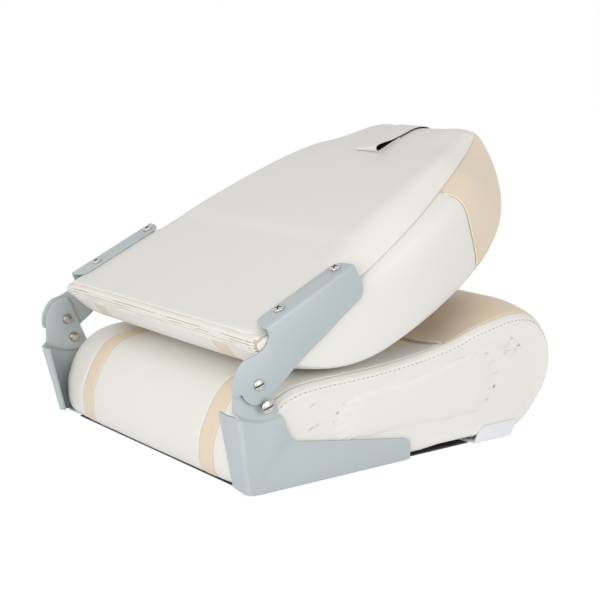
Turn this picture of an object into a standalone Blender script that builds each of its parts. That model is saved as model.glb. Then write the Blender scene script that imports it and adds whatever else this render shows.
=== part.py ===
"""Folding boat seat, modelled folded: the backrest lies on the seat cushion.

Frame: +Z up, X across, the seat's front faces -Y. The origin lies on the floor under the middle of the box.
The occupant's right is -X. The backrest has its own frame on the hinge: x to the right, y along the backrest
from the hinge to its top, z out of its rear face.
"""

import math

import bmesh
import bpy
from mathutils import Matrix, Vector
from mathutils.bvhtree import BVHTree

MM = 0.001

# Sizes shared by many pieces
ARM_INNER_HALF = 205.5 * MM  # middle of the seat to the inner face of an arm
SHEET = 2.5 * MM  # steel sheet of brackets and arms
BEND = 4.5 * MM  # set-back of a bend in the sheet
VINYL = 1.2 * MM
GAP = 0.3 * MM  # clearance between pieces that touch
SEAM_GAP = 0.3 * MM  # between two panels that are sewn together
OVERRUN = 6 * MM  # how far a cutter runs past what it cuts

# Seat cushion and base
SEAT_DEPTH = 532 * MM
SEAT_HEIGHT = 173 * MM  # floor to the crest of the front bolster
SEAT_REAR_PAST_PIVOT = 11.5 * MM
SEAT_SIDE_GAP = 1.5 * MM  # cushion side to bracket
SEAT_SIDE_ROUND = 9.5 * MM  # side seam to the widest line of the cushion
SEAT_SIDE_EDGE = 7 * MM  # side seam to the flat of the side panel, down the side
FOAM_INSET = 5 * MM  # vinyl's outer face to the foam's corners
BASE_THICK = 10 * MM
BASE_SIDE_INSET = 4 * MM  # side seam to the base's edge
BASE_CORNER = 18 * MM
PAD_SIZE = 190 * MM  # raised square under the base that a pedestal meets
RAIL_WIDTH = 26 * MM
INSERT_PITCH = 127 * MM  # five inch square of threaded inserts
INSERT_RADIUS = 5.5 * MM
INSERT_BORE = 3.2 * MM
INSERT_LENGTH = 12 * MM
GUARD_HEIGHT = 20 * MM
GUARD_WALL = 2.3 * MM
GUARD_FOOT = 34 * MM
GUARD_LENGTH = 66 * MM
GUARD_RAKE = 10 * MM
PIPING_RADIUS = 1.6 * MM

# Hinge
PIVOT_BELOW_CREST = 50.3 * MM  # crest of the seat down to the hinge
PIVOT_RADIUS = 3.9 * MM
PIVOT_HEAD = 6.2 * MM
PIVOT_DOME = 3.2 * MM
STOP_RADIUS = 3.9 * MM
STOP_HEAD = 7.4 * MM
STOP_DOME = 3.6 * MM
STOP_STAND_OFF = 3.2 * MM  # arm's outer face to the stop's head
STOP_REACH = 26.4 * MM  # pivot to stop screw
STOP_ANGLE = math.radians(248.2)  # from +Y towards +Z
OPEN_ANGLE = math.radians(83)
SLOT_WIDTH = 1.5 * MM
SLOT_DEPTH = 1.4 * MM
SLOT_TURN = math.radians(20)
NUT_ACROSS = 12 * MM
NUT_HEIGHT = 3.6 * MM
THREAD_PAST_NUT = 1.2 * MM
WASHER = 1.0 * MM
WASHER_RADIUS = 11 * MM
HUB_RADIUS = 33.5 * MM
NOTCH_RADIUS = 21.8 * MM
EAR_HALF = 27.5 * MM

# Lower bracket
FOOT_LENGTH = 236 * MM
FOOT_BEHIND_PIVOT = 8.8 * MM
FOOT_FRONT_HEIGHT = 27.5 * MM
FOOT_CORNER = 9 * MM
FOOT_REAR_HEIGHT = 54 * MM
FOOT_FLANGE = 45 * MM
UPRIGHT_FLARE = 9.5 * MM  # how much wider the upright is than the ear, at its front
UPRIGHT_FILLET = 13 * MM
REAR_FLANGE = 30 * MM
REAR_FLANGE_HEIGHT = 92 * MM
REAR_LEAN = 16.8 * MM
REAR_SPLAY = 5 * MM
REAR_SCOOP = 2.5 * MM
REAR_FOOT_RISE = 7 * MM
CORNER_RELIEF = 5 * MM
JOGGLE_CLEAR = 5 * MM  # hub to the start of the joggle
JOGGLE_RUN = 3.8 * MM
BASE_SCREW_INSET = 30 * MM  # bracket's outer face to the screws in its foot flange
BASE_SCREW_RADIUS = 2.2 * MM
BASE_SCREW_HEAD = 4.6 * MM
BASE_SCREW_LENGTH = 11 * MM

# Backrest
BACK_TILT = math.radians(26.2)
BACK_LENGTH = 505 * MM
BACK_THICK = 143.5 * MM
BACK_RISE = 46.5 * MM  # pivot to the backrest's rear face
HEM_REACH = 21 * MM  # pivot to the sewn edge at the hinge end
BACK_SIDE_GAP = 1 * MM
BACK_SIDE_ROUND = 4.5 * MM  # side seam to the widest line of the backrest
BOARD_DEPTH = 23 * MM  # rear face to board
BOARD_THICK = 10 * MM
BOARD_MARGIN = 5 * MM  # side seam to board
BOARD_START = 20 * MM  # sewn edge to board
ARM_FLANGE = 28 * MM
ARM_SCREW_NEAR = 66.6 * MM
ARM_SCREW_PITCH = 86.4 * MM
ARM_PAST_SCREW = 16 * MM  # far screw to the end of the arm
ARM_SCREW_INSET = 19.5 * MM  # arm's outer face to its screws
ARM_SCREW_RADIUS = 2.4 * MM
ARM_SCREW_HEAD = 5.2 * MM
ARM_SCREW_DOME = 2.6 * MM
CROSS_WIDTH = 1.2 * MM
CROSS_DEPTH = 1.4 * MM
T_NUT_RADIUS = 5.2 * MM
T_NUT_BARREL = 3.9 * MM
T_NUT_FLANGE = 1.2 * MM
HEM_DEPTH = 7 * MM
HEM_THICK = 19 * MM
HEM_RIBS = 4
HEM_TUCK = 3.5 * MM  # how far the folds reach under the sewn edge
HEM_END = 5 * MM  # side seam to the end of the folds
STRAP_WIDTH = 52 * MM
STRAP_THICK = 1.8 * MM
STRAP_OFFSET = 6 * MM
STRAP_CLEAR = 0.6 * MM
STRAP_LOOP = 4.2 * MM
STRAP_FOLD = 407 * MM  # pivot to the strap's fold, along the backrest
STRAP_TAIL = 453 * MM
STRAP_END = 6.5 * MM  # height of the sewn end in the backrest's frame
STUD_RADIUS = 5.5 * MM
STUD_THICK = 1.2 * MM

# Section of the seat cushion in the middle and at the side seam: shares of its depth and of its height
SEAT_MIDDLE_SHARES = (
    (0.013, 0.016), (0.0, 0.20), (0.009, 0.335), (0.03, 0.47), (0.066, 0.60), (0.117, 0.65), (0.20, 0.672),
    (0.39, 0.672), (0.562, 0.70), (0.637, 0.786), (0.712, 0.92), (0.795, 1.0), (0.887, 0.955), (0.957, 0.81),
    (1.0, 0.56), (0.983, 0.33), (0.927, 0.15), (0.859, 0.016), (0.818, 0.016), (0.775, 0.016), (0.10, 0.016),
    (0.055, 0.016),
)
SEAT_SIDE_SHARES = (
    (0.026, 0.016), (0.015, 0.21), (0.023, 0.33), (0.039, 0.445), (0.073, 0.56), (0.12, 0.625), (0.20, 0.655),
    (0.39, 0.68), (0.551, 0.75), (0.633, 0.815), (0.712, 0.867), (0.788, 0.90), (0.855, 0.867), (0.906, 0.74),
    (0.93, 0.55), (0.919, 0.347), (0.874, 0.173), (0.812, 0.016), (0.786, 0.016), (0.76, 0.016), (0.11, 0.016),
    (0.066, 0.016),
)
# Section of the backrest, from the hinge end over the rear face, round the top and back along the front face
BACK_MIDDLE_SHARES = (
    (0.0, 0.003), (0.057, -0.007), (0.147, -0.017), (0.255, -0.031), (0.384, -0.045), (0.543, -0.059),
    (0.715, -0.052), (0.85, -0.017), (0.95, 0.073), (1.0, 0.42), (0.95, 0.784), (0.85, 0.937), (0.715, 1.0),
    (0.543, 0.965), (0.384, 0.895), (0.255, 0.826), (0.147, 0.666), (0.057, 0.42), (0.0, 0.17),
)
BACK_SIDE_SHARES = (
    (0.002, 0.045), (0.057, 0.087), (0.147, 0.13), (0.255, 0.157), (0.384, 0.143), (0.53, 0.117),
    (0.665, 0.103), (0.81, 0.088), (0.91, 0.12), (0.955, 0.43), (0.92, 0.74), (0.82, 0.865), (0.68, 0.92),
    (0.53, 0.905), (0.384, 0.854), (0.255, 0.784), (0.147, 0.631), (0.057, 0.394), (0.002, 0.185),
)
# Half width at each point of that side seam, and (length, half width) of the widest line inside it
BACK_SEAM_SHARES = (1.0, 1.0, 1.0, 1.0, 0.965, 0.90, 0.79, 0.66, 0.55, 0.53, 0.60, 0.73, 0.83, 0.91, 0.975,
                    1.0, 1.0, 1.0, 1.0)
BACK_WIDEST_SHARES = (
    (0.002, 1.0), (0.057, 1.0), (0.147, 1.0), (0.255, 1.0), (0.384, 0.995), (0.545, 0.96), (0.70, 0.88),
    (0.80, 0.785), (0.87, 0.70), (0.895, 0.66), (0.87, 0.70), (0.79, 0.78), (0.70, 0.85), (0.545, 0.93),
    (0.384, 0.985), (0.255, 1.0), (0.147, 1.0), (0.057, 1.0), (0.002, 1.0),
)
# From the middle to the side seam: share of the half width, and how far the section has become the side one
SEAT_ACROSS_SHARES = ((0.45, 0.0), (0.604, 0.0), (0.72, 0.05), (0.90, 0.35), (1.0, 1.0))
BACK_ACROSS_SHARES = ((0.45, 0.0), (0.585, 0.0), (0.70, 0.02), (0.88, 0.10), (1.0, 1.0))
SIDE_ROUND_SHARE = 0.6  # height of the widest line's ring as a share of the side section's
# Indices in the sections where one panel ends and the next begins
SEAT_BOLSTER_START_INDEX, SEAT_BOLSTER_END_INDEX, SEAT_OPEN_END_INDEX = 8, 18, 21
BACK_BOLSTER_START_INDEX, BACK_BOLSTER_END_INDEX, BACK_SIDE_BOLSTER_INDEX, BACK_OPEN_INDEX = 8, 12, 6, 18
STRIPE_STATION_INDEX = 2
SEAT_LOOSE_INDICES, BACK_LOOSE_INDICES = (17, 18, 19, 20, 21, 0), (0, 18)
# Lower and upper edge of an arm beyond its hub, as shares of its reach
ARM_LOWER_SHARES = (
    (0.032, -0.137), (0.095, -0.106), (0.178, -0.092), (0.267, -0.069), (0.409, -0.038), (0.582, -0.013),
    (0.765, 0.024), (0.89, 0.042), (0.957, 0.06), (0.992, 0.098), (1.0, 0.151),
)
ARM_NECK_SHARES = ((0.205, 0.23), (0.17, 0.195), (0.117, 0.181), (0.041, 0.183))
ARM_FLANGE_END_SHARES = ((0.21, 0.0), (0.23, 0.6), (0.29, 1.0), (0.93, 1.0), (0.975, 0.75), (0.99, 0.0))
HUB_START, HUB_END = math.radians(97), math.radians(164)
BASE_REAR_SHARE, BASE_FRONT_SHARE = 0.068, 0.785
CRIMP_SHARE = 0.45
# Points of the strap between its tail and the top of the backrest, and from there down to its sewn end
STRAP_OVER_SHARES = (0.3, 0.42, 0.53, 0.63, 0.72)
STRAP_DOWN_SHARES = (0.16, 0.3, 0.44, 0.58, 0.72, 0.86, 1.0)
DOME_ANGLES = [math.radians(degrees) for degrees in (0, 30, 60, 90)]
STRAP_FOLD_ANGLES = [math.radians(degrees) for degrees in (250, 215, 180, 145, 105)]

# Worked out from the sizes above
OUTER_HALF = ARM_INNER_HALF + SHEET
EAR_OUTER = ARM_INNER_HALF - 2 * GAP - WASHER
NOSE_REACH = SEAT_DEPTH - SEAT_REAR_PAST_PIVOT
PIVOT = Vector((0, (NOSE_REACH - HUB_RADIUS) / 2, SEAT_HEIGHT - PIVOT_BELOW_CREST))
STOP_SIDE, STOP_UP = STOP_REACH * math.cos(STOP_ANGLE), STOP_REACH * math.sin(STOP_ANGLE)
STOP = PIVOT + Vector((0, STOP_SIDE, STOP_UP))
SEAT_REAR_Y = PIVOT.y + SEAT_REAR_PAST_PIVOT
SEAT_HALF = ARM_INNER_HALF - SEAT_SIDE_GAP
SEAT_SEAM_HALF = SEAT_HALF - SEAT_SIDE_ROUND
SEAT_UNDERSIDE = SHEET + GAP  # the cushion rests on the foot flanges
BACK_HALF = ARM_INNER_HALF - BACK_SIDE_GAP
BACK_SEAM_HALF = BACK_HALF - BACK_SIDE_ROUND
HEM_HALF = BACK_SEAM_HALF - HEM_END
BASE_BOTTOM = SEAT_UNDERSIDE + VINYL + GAP
BASE_TOP = BASE_BOTTOM + BASE_THICK
BASE_HALF = SEAT_SEAM_HALF - BASE_SIDE_INSET
BASE_REAR_Y = SEAT_REAR_Y - BASE_REAR_SHARE * SEAT_DEPTH
BASE_FRONT_Y = SEAT_REAR_Y - BASE_FRONT_SHARE * SEAT_DEPTH
BRACKET_REAR_Y = PIVOT.y + FOOT_BEHIND_PIVOT
BRACKET_FRONT_Y = BRACKET_REAR_Y - FOOT_LENGTH
ARM_TOP = BACK_RISE + GAP + SHEET  # outer face of an arm's flange
ARM_SCREWS = (ARM_SCREW_NEAR, ARM_SCREW_NEAR + ARM_SCREW_PITCH)
ARM_REACH = ARM_SCREWS[1] + ARM_PAST_SCREW
ARM_SCREW_X = OUTER_HALF - ARM_SCREW_INSET
BOARD_TOP = BACK_RISE - BOARD_DEPTH
BOARD_BOTTOM = BOARD_TOP - BOARD_THICK
T_NUT_BOTTOM = BOARD_BOTTOM - GAP - T_NUT_FLANGE
ARM_SCREW_END = T_NUT_BOTTOM - THREAD_PAST_NUT
BASE_SCREW_X = OUTER_HALF - BASE_SCREW_INSET
BASE_SCREW_YS = (BRACKET_REAR_Y - FOOT_LENGTH / 6, BRACKET_FRONT_Y + FOOT_LENGTH / 6)


def linear(hex_colour):
    """Linear colour from an sRGB hex value."""
    parts = [int(hex_colour[i:i + 2], 16) / 255 for i in (0, 2, 4)]
    return [p / 12.92 if p <= 0.04045 else ((p + 0.055) / 1.055) ** 2.4 for p in parts] + [1.0]


def material(name, hex_colour, roughness, metallic=0.0):
    made = bpy.data.materials.new(name)
    made.use_nodes = True
    shader = made.node_tree.nodes["Principled BSDF"]
    shader.inputs["Base Color"].default_value = linear(hex_colour)
    shader.inputs["Roughness"].default_value = roughness
    shader.inputs["Metallic"].default_value = metallic
    made.diffuse_color = linear(hex_colour)
    return made


for old in list(bpy.data.objects):
    bpy.data.objects.remove(old)
PARTS = bpy.data.collections.new("folding_boat_seat")
CUTTERS = bpy.data.collections.new("cutters")
bpy.context.scene.collection.children.link(PARTS)
bpy.context.scene.collection.children.link(CUTTERS)

WHITE_VINYL = material("white vinyl", "E6E3DC", 0.45)
BEIGE_VINYL = material("beige vinyl", "E3D2B9", 0.45)
PAINTED_STEEL = material("blue-grey paint", "B9C3C6", 0.4)
STEEL = material("bright steel", "C9C8C6", 0.25, 1.0)
WHITE_PLASTIC = material("white plastic", "E8E7EA", 0.4)
NYLON = material("nylon", "DAD8D0", 0.5)
FOAM = material("foam", "E9DFB8", 0.9)
PLYWOOD = material("plywood", "C9A877", 0.7)
BRASS = material("brass", "C8A858", 0.35, 1.0)


# Frames: the seat's is the world's, the backrest's sits on the hinge
def empty(name, matrix):
    made = bpy.data.objects.new(name, None)
    PARTS.objects.link(made)
    made.matrix_world = matrix
    return made


TILT_COS, TILT_SIN = math.cos(BACK_TILT), math.sin(BACK_TILT)
BACK_AXES = Matrix(((-1, 0, 0), (0, -TILT_COS, TILT_SIN), (0, TILT_SIN, TILT_COS))).to_4x4()
SEAT = empty("seat_frame", Matrix.Identity(4))
BACK = empty("back_hinge", Matrix.Translation(PIVOT) @ BACK_AXES)


def place(name, mesh, finish, parent, collection=PARTS):
    made = bpy.data.objects.new(name, mesh)
    if finish:
        mesh.materials.append(finish)
    collection.objects.link(made)
    made.parent = parent
    return made


def finished(name, bm, finish, parent):
    """An object from a bmesh, shaded smooth but for its sharp edges."""
    mesh = bpy.data.meshes.new(name)
    bm.to_mesh(mesh)
    bm.free()
    mesh.shade_smooth()
    mesh.set_sharp_from_angle(angle=math.radians(35))
    return place(name, mesh, finish, parent)


def evaluated_mesh(obj):
    """A new mesh of the object with its modifiers applied."""
    bpy.context.view_layer.update()
    graph = bpy.context.evaluated_depsgraph_get()
    return bpy.data.meshes.new_from_object(obj.evaluated_get(graph))


def as_cutter(mesh, parent):
    name = f"cutter_{len(CUTTERS.objects):02d}"
    cutter = place(name, mesh, None, parent, CUTTERS)
    cutter.hide_render = True
    cutter.display_type = "WIRE"
    return cutter


def boolean(obj, other, operation="DIFFERENCE"):
    step = obj.modifiers.new(operation.lower(), "BOOLEAN")
    step.operation = operation
    step.object = other


def rod_mesh(radius, start, end, sides=14):
    """A cylinder between two points."""
    start, end = Vector(start), Vector(end)
    turn = (end - start).to_track_quat("Z", "Y").to_matrix().to_4x4()
    bm = bmesh.new()
    bmesh.ops.create_cone(bm, cap_ends=True, segments=sides, radius1=radius, radius2=radius,
                          depth=(end - start).length, matrix=Matrix.Translation((start + end) / 2) @ turn)
    mesh = bpy.data.meshes.new("rod")
    bm.to_mesh(mesh)
    bm.free()
    return mesh


def box_mesh(low, high, turn=Matrix.Identity(4)):
    """A box between two corners, then turned about the origin of its frame."""
    low, high = Vector(low), Vector(high)
    bm = bmesh.new()
    bmesh.ops.create_cube(bm, size=1, matrix=Matrix.Translation((low + high) / 2)
                          @ Matrix.Diagonal((*(high - low), 1)))
    bmesh.ops.transform(bm, matrix=turn, verts=bm.verts)
    mesh = bpy.data.meshes.new("box")
    bm.to_mesh(mesh)
    bm.free()
    return mesh


def drill(obj, radius, start, end, parent):
    boolean(obj, as_cutter(rod_mesh(radius, start, end), parent))


def turned(name, profile, seat_point, direction, finish, parent, closed=False, collection=PARTS):
    """A turned piece. Its profile is (radius, height) from the top down the outer side; height runs along
    direction from seat_point."""
    points = [(radius, 0, height) for radius, height in profile]
    edges = [(i, i + 1) for i in range(len(points) - 1)]
    if closed:
        edges.append((len(points) - 1, 0))
    mesh = bpy.data.meshes.new(name)
    mesh.from_pydata(points, edges, [])
    obj = place(name, mesh, finish, parent, collection)
    screw = obj.modifiers.new("turn", "SCREW")
    screw.steps = screw.render_steps = 14
    screw.use_merge_vertices = True
    screw.merge_threshold = 0.00001
    screw.use_smooth_shade = True
    turn = Vector(direction).to_track_quat("Z", "Y").to_matrix().to_4x4()
    obj.matrix_local = Matrix.Translation(seat_point) @ turn
    return obj


def arc(centre, radius, first, last, count):
    angles = [first + (last - first) * i / (count - 1) for i in range(count)]
    return [(centre[0] + radius * math.cos(t), centre[1] + radius * math.sin(t)) for t in angles]


def blend(first, second, share):
    return first + (second - first) * share


# Cushions: a closed coarse cage with a tag on each face, smoothed, and parted into panels along the tags
MIDDLE, STRIPE_LOW, STRIPE_HIGH, EDGE_LOW, EDGE_HIGH, SIDE_LOW, SIDE_HIGH, BOLSTER, OPEN, REAR = range(10)


def cushion_cage(name, rings, loose, loose_ends, ring_tag, cap_faces, parent):
    """rings run from the low side to the high side. loose holds the ring indices where the smooth surface may
    cut the corner. cap_faces lists (indices, in the bolster or not) for an end."""
    count = len(rings[0])
    bm = bmesh.new()
    grid = [[bm.verts.new(point) for point in ring] for ring in rings]
    for station in range(len(rings) - 1):
        for i in range(count):
            j = (i + 1) % count
            near, far = grid[station], grid[station + 1]
            face = bm.faces.new((near[i], near[j], far[j], far[i]))
            face.material_index = ring_tag(station, i)
    for end, side in ((0, SIDE_LOW), (-1, SIDE_HIGH)):
        for indices, in_bolster in cap_faces:
            face = bm.faces.new([grid[end][i] for i in indices])
            face.material_index = BOLSTER if in_bolster else side
    bmesh.ops.recalc_face_normals(bm, faces=bm.faces)
    mesh = bpy.data.meshes.new(name)
    bm.to_mesh(mesh)
    bm.free()
    cage = as_cutter(mesh, parent)
    smooth = cage.modifiers.new("smooth", "SUBSURF")
    smooth.levels = smooth.render_levels = 1
    # The smooth surface is drawn inside its cage, so the cage is let out until it passes through the sections
    targets = [vert.co.copy() for vert in mesh.vertices]
    for _ in range(4):
        skin = evaluated_mesh(cage)
        for vert, target, reached in zip(mesh.vertices, targets, skin.vertices):
            station, i = divmod(vert.index, count)
            short = target - reached.co
            if 1 < station < len(rings) - 2:
                short.x = 0
            at_end = station in (0, len(rings) - 1)
            if i not in loose and not (loose_ends and at_end):
                vert.co += short
        bpy.data.meshes.remove(skin)
    return cage


def panel(name, skin, tags, finish, parent):
    """The faces with these tags, with the vinyl's thickness inwards and half a seam's gap at their edges."""
    chosen = [face for face in skin.polygons if face.material_index in tags]
    uses = {}
    for face in chosen:
        ring = list(face.vertices)
        for a, b in zip(ring, ring[1:] + ring[:1]):
            uses.setdefault(frozenset((a, b)), []).append((a, b, face.normal))
    border = []
    drawn_in = {}
    for sides in uses.values():
        if len(sides) == 1:
            a, b, normal = sides[0]
            inward = normal.cross(skin.vertices[b].co - skin.vertices[a].co).normalized()
            border.append((a, b))
            drawn_in[a] = drawn_in.get(a, Vector()) + inward
            drawn_in[b] = drawn_in.get(b, Vector()) + inward
    bm = bmesh.new()
    outer, inner = {}, {}
    for index in sorted({i for face in chosen for i in face.vertices}):
        vert = skin.vertices[index]
        point = vert.co + drawn_in.get(index, Vector()).normalized() * SEAM_GAP / 2
        outer[index] = bm.verts.new(point)
        inner[index] = bm.verts.new(point - vert.normal * VINYL)
    for face in chosen:
        bm.faces.new([outer[i] for i in face.vertices])
        bm.faces.new([inner[i] for i in reversed(face.vertices)])
    for a, b in border:
        bm.faces.new((outer[b], outer[a], inner[a], inner[b]))
    return finished(name, bm, finish, parent)


def foam_mesh(cage, skin, cuts):
    """The coarse cage drawn inside the skin and cut flat by planes of (height, keep_above)."""
    bm = bmesh.new()
    corners = [bm.verts.new(skin.vertices[i].co - skin.vertices[i].normal * FOAM_INSET)
               for i in range(len(cage.data.vertices))]
    for face in cage.data.polygons:
        ring = [corners[i] for i in face.vertices]
        if len(ring) != 4:
            bm.faces.new(ring)
            continue
        # The diagonal that lies deeper keeps a twisted face under the skin
        rise = (ring[0].co + ring[2].co - ring[1].co - ring[3].co).dot(face.normal)
        if rise > 0:
            ring = ring[1:] + ring[:1]
        bm.faces.new(ring[:3])
        bm.faces.new((ring[0], ring[2], ring[3]))
    bmesh.ops.triangulate(bm, faces=bm.faces)
    for height, keep_above in cuts:
        geometry = bm.verts[:] + bm.edges[:] + bm.faces[:]
        bmesh.ops.bisect_plane(bm, geom=geometry, plane_co=(0, 0, height), plane_no=(0, 0, 1),
                               clear_inner=keep_above, clear_outer=not keep_above)
        rim = [edge for edge in bm.edges if edge.is_boundary]
        bmesh.ops.holes_fill(bm, edges=rim, sides=0)
    bmesh.ops.recalc_face_normals(bm, faces=bm.faces)
    return bm


def mirrored_stations(across_shares):
    """(side, share, blend) from the low side's seam to the high side's."""
    low = [(-1, share, weight) for share, weight in reversed(across_shares)]
    return low + [(1, share, weight) for share, weight in across_shares]


def panel_tag(station, last_station):
    """Tag of a lengthwise panel of the cover, between two stations counted from the low seam."""
    from_seam = min(station, last_station - station)
    low = station < last_station - station
    if from_seam == STRIPE_STATION_INDEX:
        return STRIPE_LOW if low else STRIPE_HIGH
    if from_seam < STRIPE_STATION_INDEX:
        return EDGE_LOW if low else EDGE_HIGH
    return MIDDLE


def inset_ring(points, distance):
    """Points of a closed outline (y, z) moved inwards; the outline runs clockwise seen from -X."""
    moved = []
    for before, point, after in zip(points[-1:] + points[:-1], points, points[1:] + points[:1]):
        along = (Vector(after) - Vector(before)).normalized()
        moved.append(Vector(point) + Vector((-along.y, along.x)) * distance)
    return moved


def seat_cushion():
    def section(shares):
        return [(SEAT_REAR_Y - along * SEAT_DEPTH, max(height * SEAT_HEIGHT, SEAT_UNDERSIDE))
                for along, height in shares]

    middle, side = section(SEAT_MIDDLE_SHARES), section(SEAT_SIDE_SHARES)
    stations = mirrored_stations(SEAT_ACROSS_SHARES)
    rings = [[(sign * share * SEAT_SEAM_HALF, blend(m[0], s[0], weight), blend(m[1], s[1], weight))
              for m, s in zip(middle, side)] for sign, share, weight in stations]
    flat = inset_ring(side, SEAT_SIDE_EDGE)
    caps = [[(sign * SEAT_HALF, y, z) for y, z in flat] for sign in (-1, 1)]
    rings = [caps[0]] + rings + [caps[1]]
    last = len(stations) - 2

    def ring_tag(station, i):
        if station == 0:
            return SIDE_LOW
        if station == len(rings) - 2:
            return SIDE_HIGH
        if SEAT_BOLSTER_END_INDEX <= i < SEAT_OPEN_END_INDEX:
            return OPEN
        if SEAT_BOLSTER_START_INDEX <= i < SEAT_BOLSTER_END_INDEX:
            return BOLSTER
        return panel_tag(station - 1, last)

    side_faces = [(range(len(flat)), False)]
    cage = cushion_cage("seat_cage", rings, SEAT_LOOSE_INDICES, True, ring_tag, side_faces, SEAT)
    skin = evaluated_mesh(cage)
    panel("seat_cover_middle", skin, {MIDDLE}, WHITE_VINYL, SEAT)
    panel("seat_stripe_right", skin, {STRIPE_LOW}, BEIGE_VINYL, SEAT)
    panel("seat_stripe_left", skin, {STRIPE_HIGH}, BEIGE_VINYL, SEAT)
    panel("seat_cover_edge_right", skin, {EDGE_LOW}, WHITE_VINYL, SEAT)
    panel("seat_cover_edge_left", skin, {EDGE_HIGH}, WHITE_VINYL, SEAT)
    panel("seat_side_panel_right", skin, {SIDE_LOW}, WHITE_VINYL, SEAT)
    panel("seat_side_panel_left", skin, {SIDE_HIGH}, WHITE_VINYL, SEAT)
    panel("seat_front_bolster", skin, {BOLSTER}, BEIGE_VINYL, SEAT)
    foam = foam_mesh(cage, skin, [(BASE_TOP + GAP, True)])
    finished("seat_foam", foam, FOAM, SEAT)
    # The piping lies in the seam between the white top and the bolster
    whites = {i for face in skin.polygons if face.material_index in range(SIDE_LOW) for i in face.vertices}
    beige = {i for face in skin.polygons if face.material_index == BOLSTER for i in face.vertices}
    middle_y = SEAT_REAR_Y - SEAT_MIDDLE_SHARES[SEAT_BOLSTER_START_INDEX][0] * SEAT_DEPTH
    seam = [skin.vertices[i] for i in whites & beige
            if abs(skin.vertices[i].co.y - middle_y) < SEAT_HEIGHT / 4]
    seam.sort(key=lambda vert: vert.co.x)
    path = [vert.co + vert.normal * (PIPING_RADIUS + GAP) for vert in seam]
    cord("seat_piping", path, PIPING_RADIUS, BEIGE_VINYL, SEAT)


def cord(name, path, radius, finish, parent):
    """A round cord through the points, made a closed mesh."""
    data = bpy.data.curves.new(name, "CURVE")
    data.dimensions = "3D"
    data.bevel_depth = radius
    data.bevel_resolution = 1
    data.use_fill_caps = True
    spline = data.splines.new("POLY")
    spline.points.add(len(path) - 1)
    for point, place_at in zip(spline.points, path):
        point.co = (*place_at, 1)
    curve = bpy.data.objects.new(name + "_curve", data)
    CUTTERS.objects.link(curve)
    mesh = evaluated_mesh(curve)
    bpy.data.objects.remove(curve)
    bm = bmesh.new()
    bm.from_mesh(mesh)
    bmesh.ops.remove_doubles(bm, verts=bm.verts, dist=radius / 100)
    bmesh.ops.recalc_face_normals(bm, faces=bm.faces)
    return finished(name, bm, finish, parent)


# Base of the seat: a moulded plate with a mounting pad, two rails over the foot flanges and two corner guards
def prism_mesh(outline, low, high):
    """A flat outline (x, y) raised from one height to another."""
    bm = bmesh.new()
    face = bm.faces.new([bm.verts.new((x, y, low)) for x, y in outline])
    raised = bmesh.ops.extrude_face_region(bm, geom=[face])
    verts = [item for item in raised["geom"] if isinstance(item, bmesh.types.BMVert)]
    bmesh.ops.translate(bm, vec=(0, 0, high - low), verts=verts)
    bmesh.ops.recalc_face_normals(bm, faces=bm.faces)
    mesh = bpy.data.meshes.new("prism")
    bm.to_mesh(mesh)
    bm.free()
    return mesh


def rounded_rectangle(low, high, radius):
    """Corners of a rounded rectangle, counter-clockwise."""
    quarter = math.pi / 2
    left, right, near, far = low[0] + radius, high[0] - radius, low[1] + radius, high[1] - radius
    corners = ((right, far, 0), (left, far, quarter), (left, near, 2 * quarter), (right, near, 3 * quarter))
    points = []
    for x, y, start in corners:
        points += arc((x, y), radius, start, start + quarter, 5)
    return points


def guard_mesh(sign):
    """A low wall beside a front corner, both ends raked forward, with a foot turned in under the cushion."""
    wall = SEAT_HALF + GAP + GUARD_WALL
    outline = [(wall - GUARD_FOOT, 0), (wall, 0), (wall, GUARD_HEIGHT), (wall - GUARD_WALL, GUARD_HEIGHT),
               (wall - GUARD_WALL, GUARD_WALL), (wall - GUARD_FOOT, GUARD_WALL)]
    bm = bmesh.new()
    face = bm.faces.new([bm.verts.new((sign * x, BASE_FRONT_Y, z)) for x, z in outline])
    raised = bmesh.ops.extrude_face_region(bm, geom=[face])
    verts = [item for item in raised["geom"] if isinstance(item, bmesh.types.BMVert)]
    bmesh.ops.translate(bm, vec=(0, GUARD_LENGTH, 0), verts=verts)
    for vert in bm.verts:
        vert.co.y -= GUARD_RAKE * vert.co.z / GUARD_HEIGHT
    bmesh.ops.recalc_face_normals(bm, faces=bm.faces)
    mesh = bpy.data.meshes.new("guard")
    bm.to_mesh(mesh)
    bm.free()
    return as_cutter(mesh, SEAT)


def outward(bm, sign):
    """Turns an open surface so that its largest upright face looks to the given side."""
    bmesh.ops.recalc_face_normals(bm, faces=bm.faces)
    upright = max(bm.faces, key=lambda face: face.calc_area() * abs(face.normal.x))
    if upright.normal.x * sign < 0:
        bmesh.ops.reverse_faces(bm, faces=bm.faces)


def thickness(obj, wall):
    solid = obj.modifiers.new("thickness", "SOLIDIFY")
    solid.thickness = wall
    solid.offset = -1
    solid.use_even_offset = True


def flat_screw_profile(radius, head, depth, length, extra=0.0):
    """A flat-head screw that points up from its head's face at height zero, as a profile from the head down."""
    return [(0, extra), (head + extra, extra), (head + extra, 0), (radius + extra, -depth),
            (radius + extra, -length), (0, -length)]


BASE_SCREW_HOLES = []  # (side, cutter), shared by the base and the brackets


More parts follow.
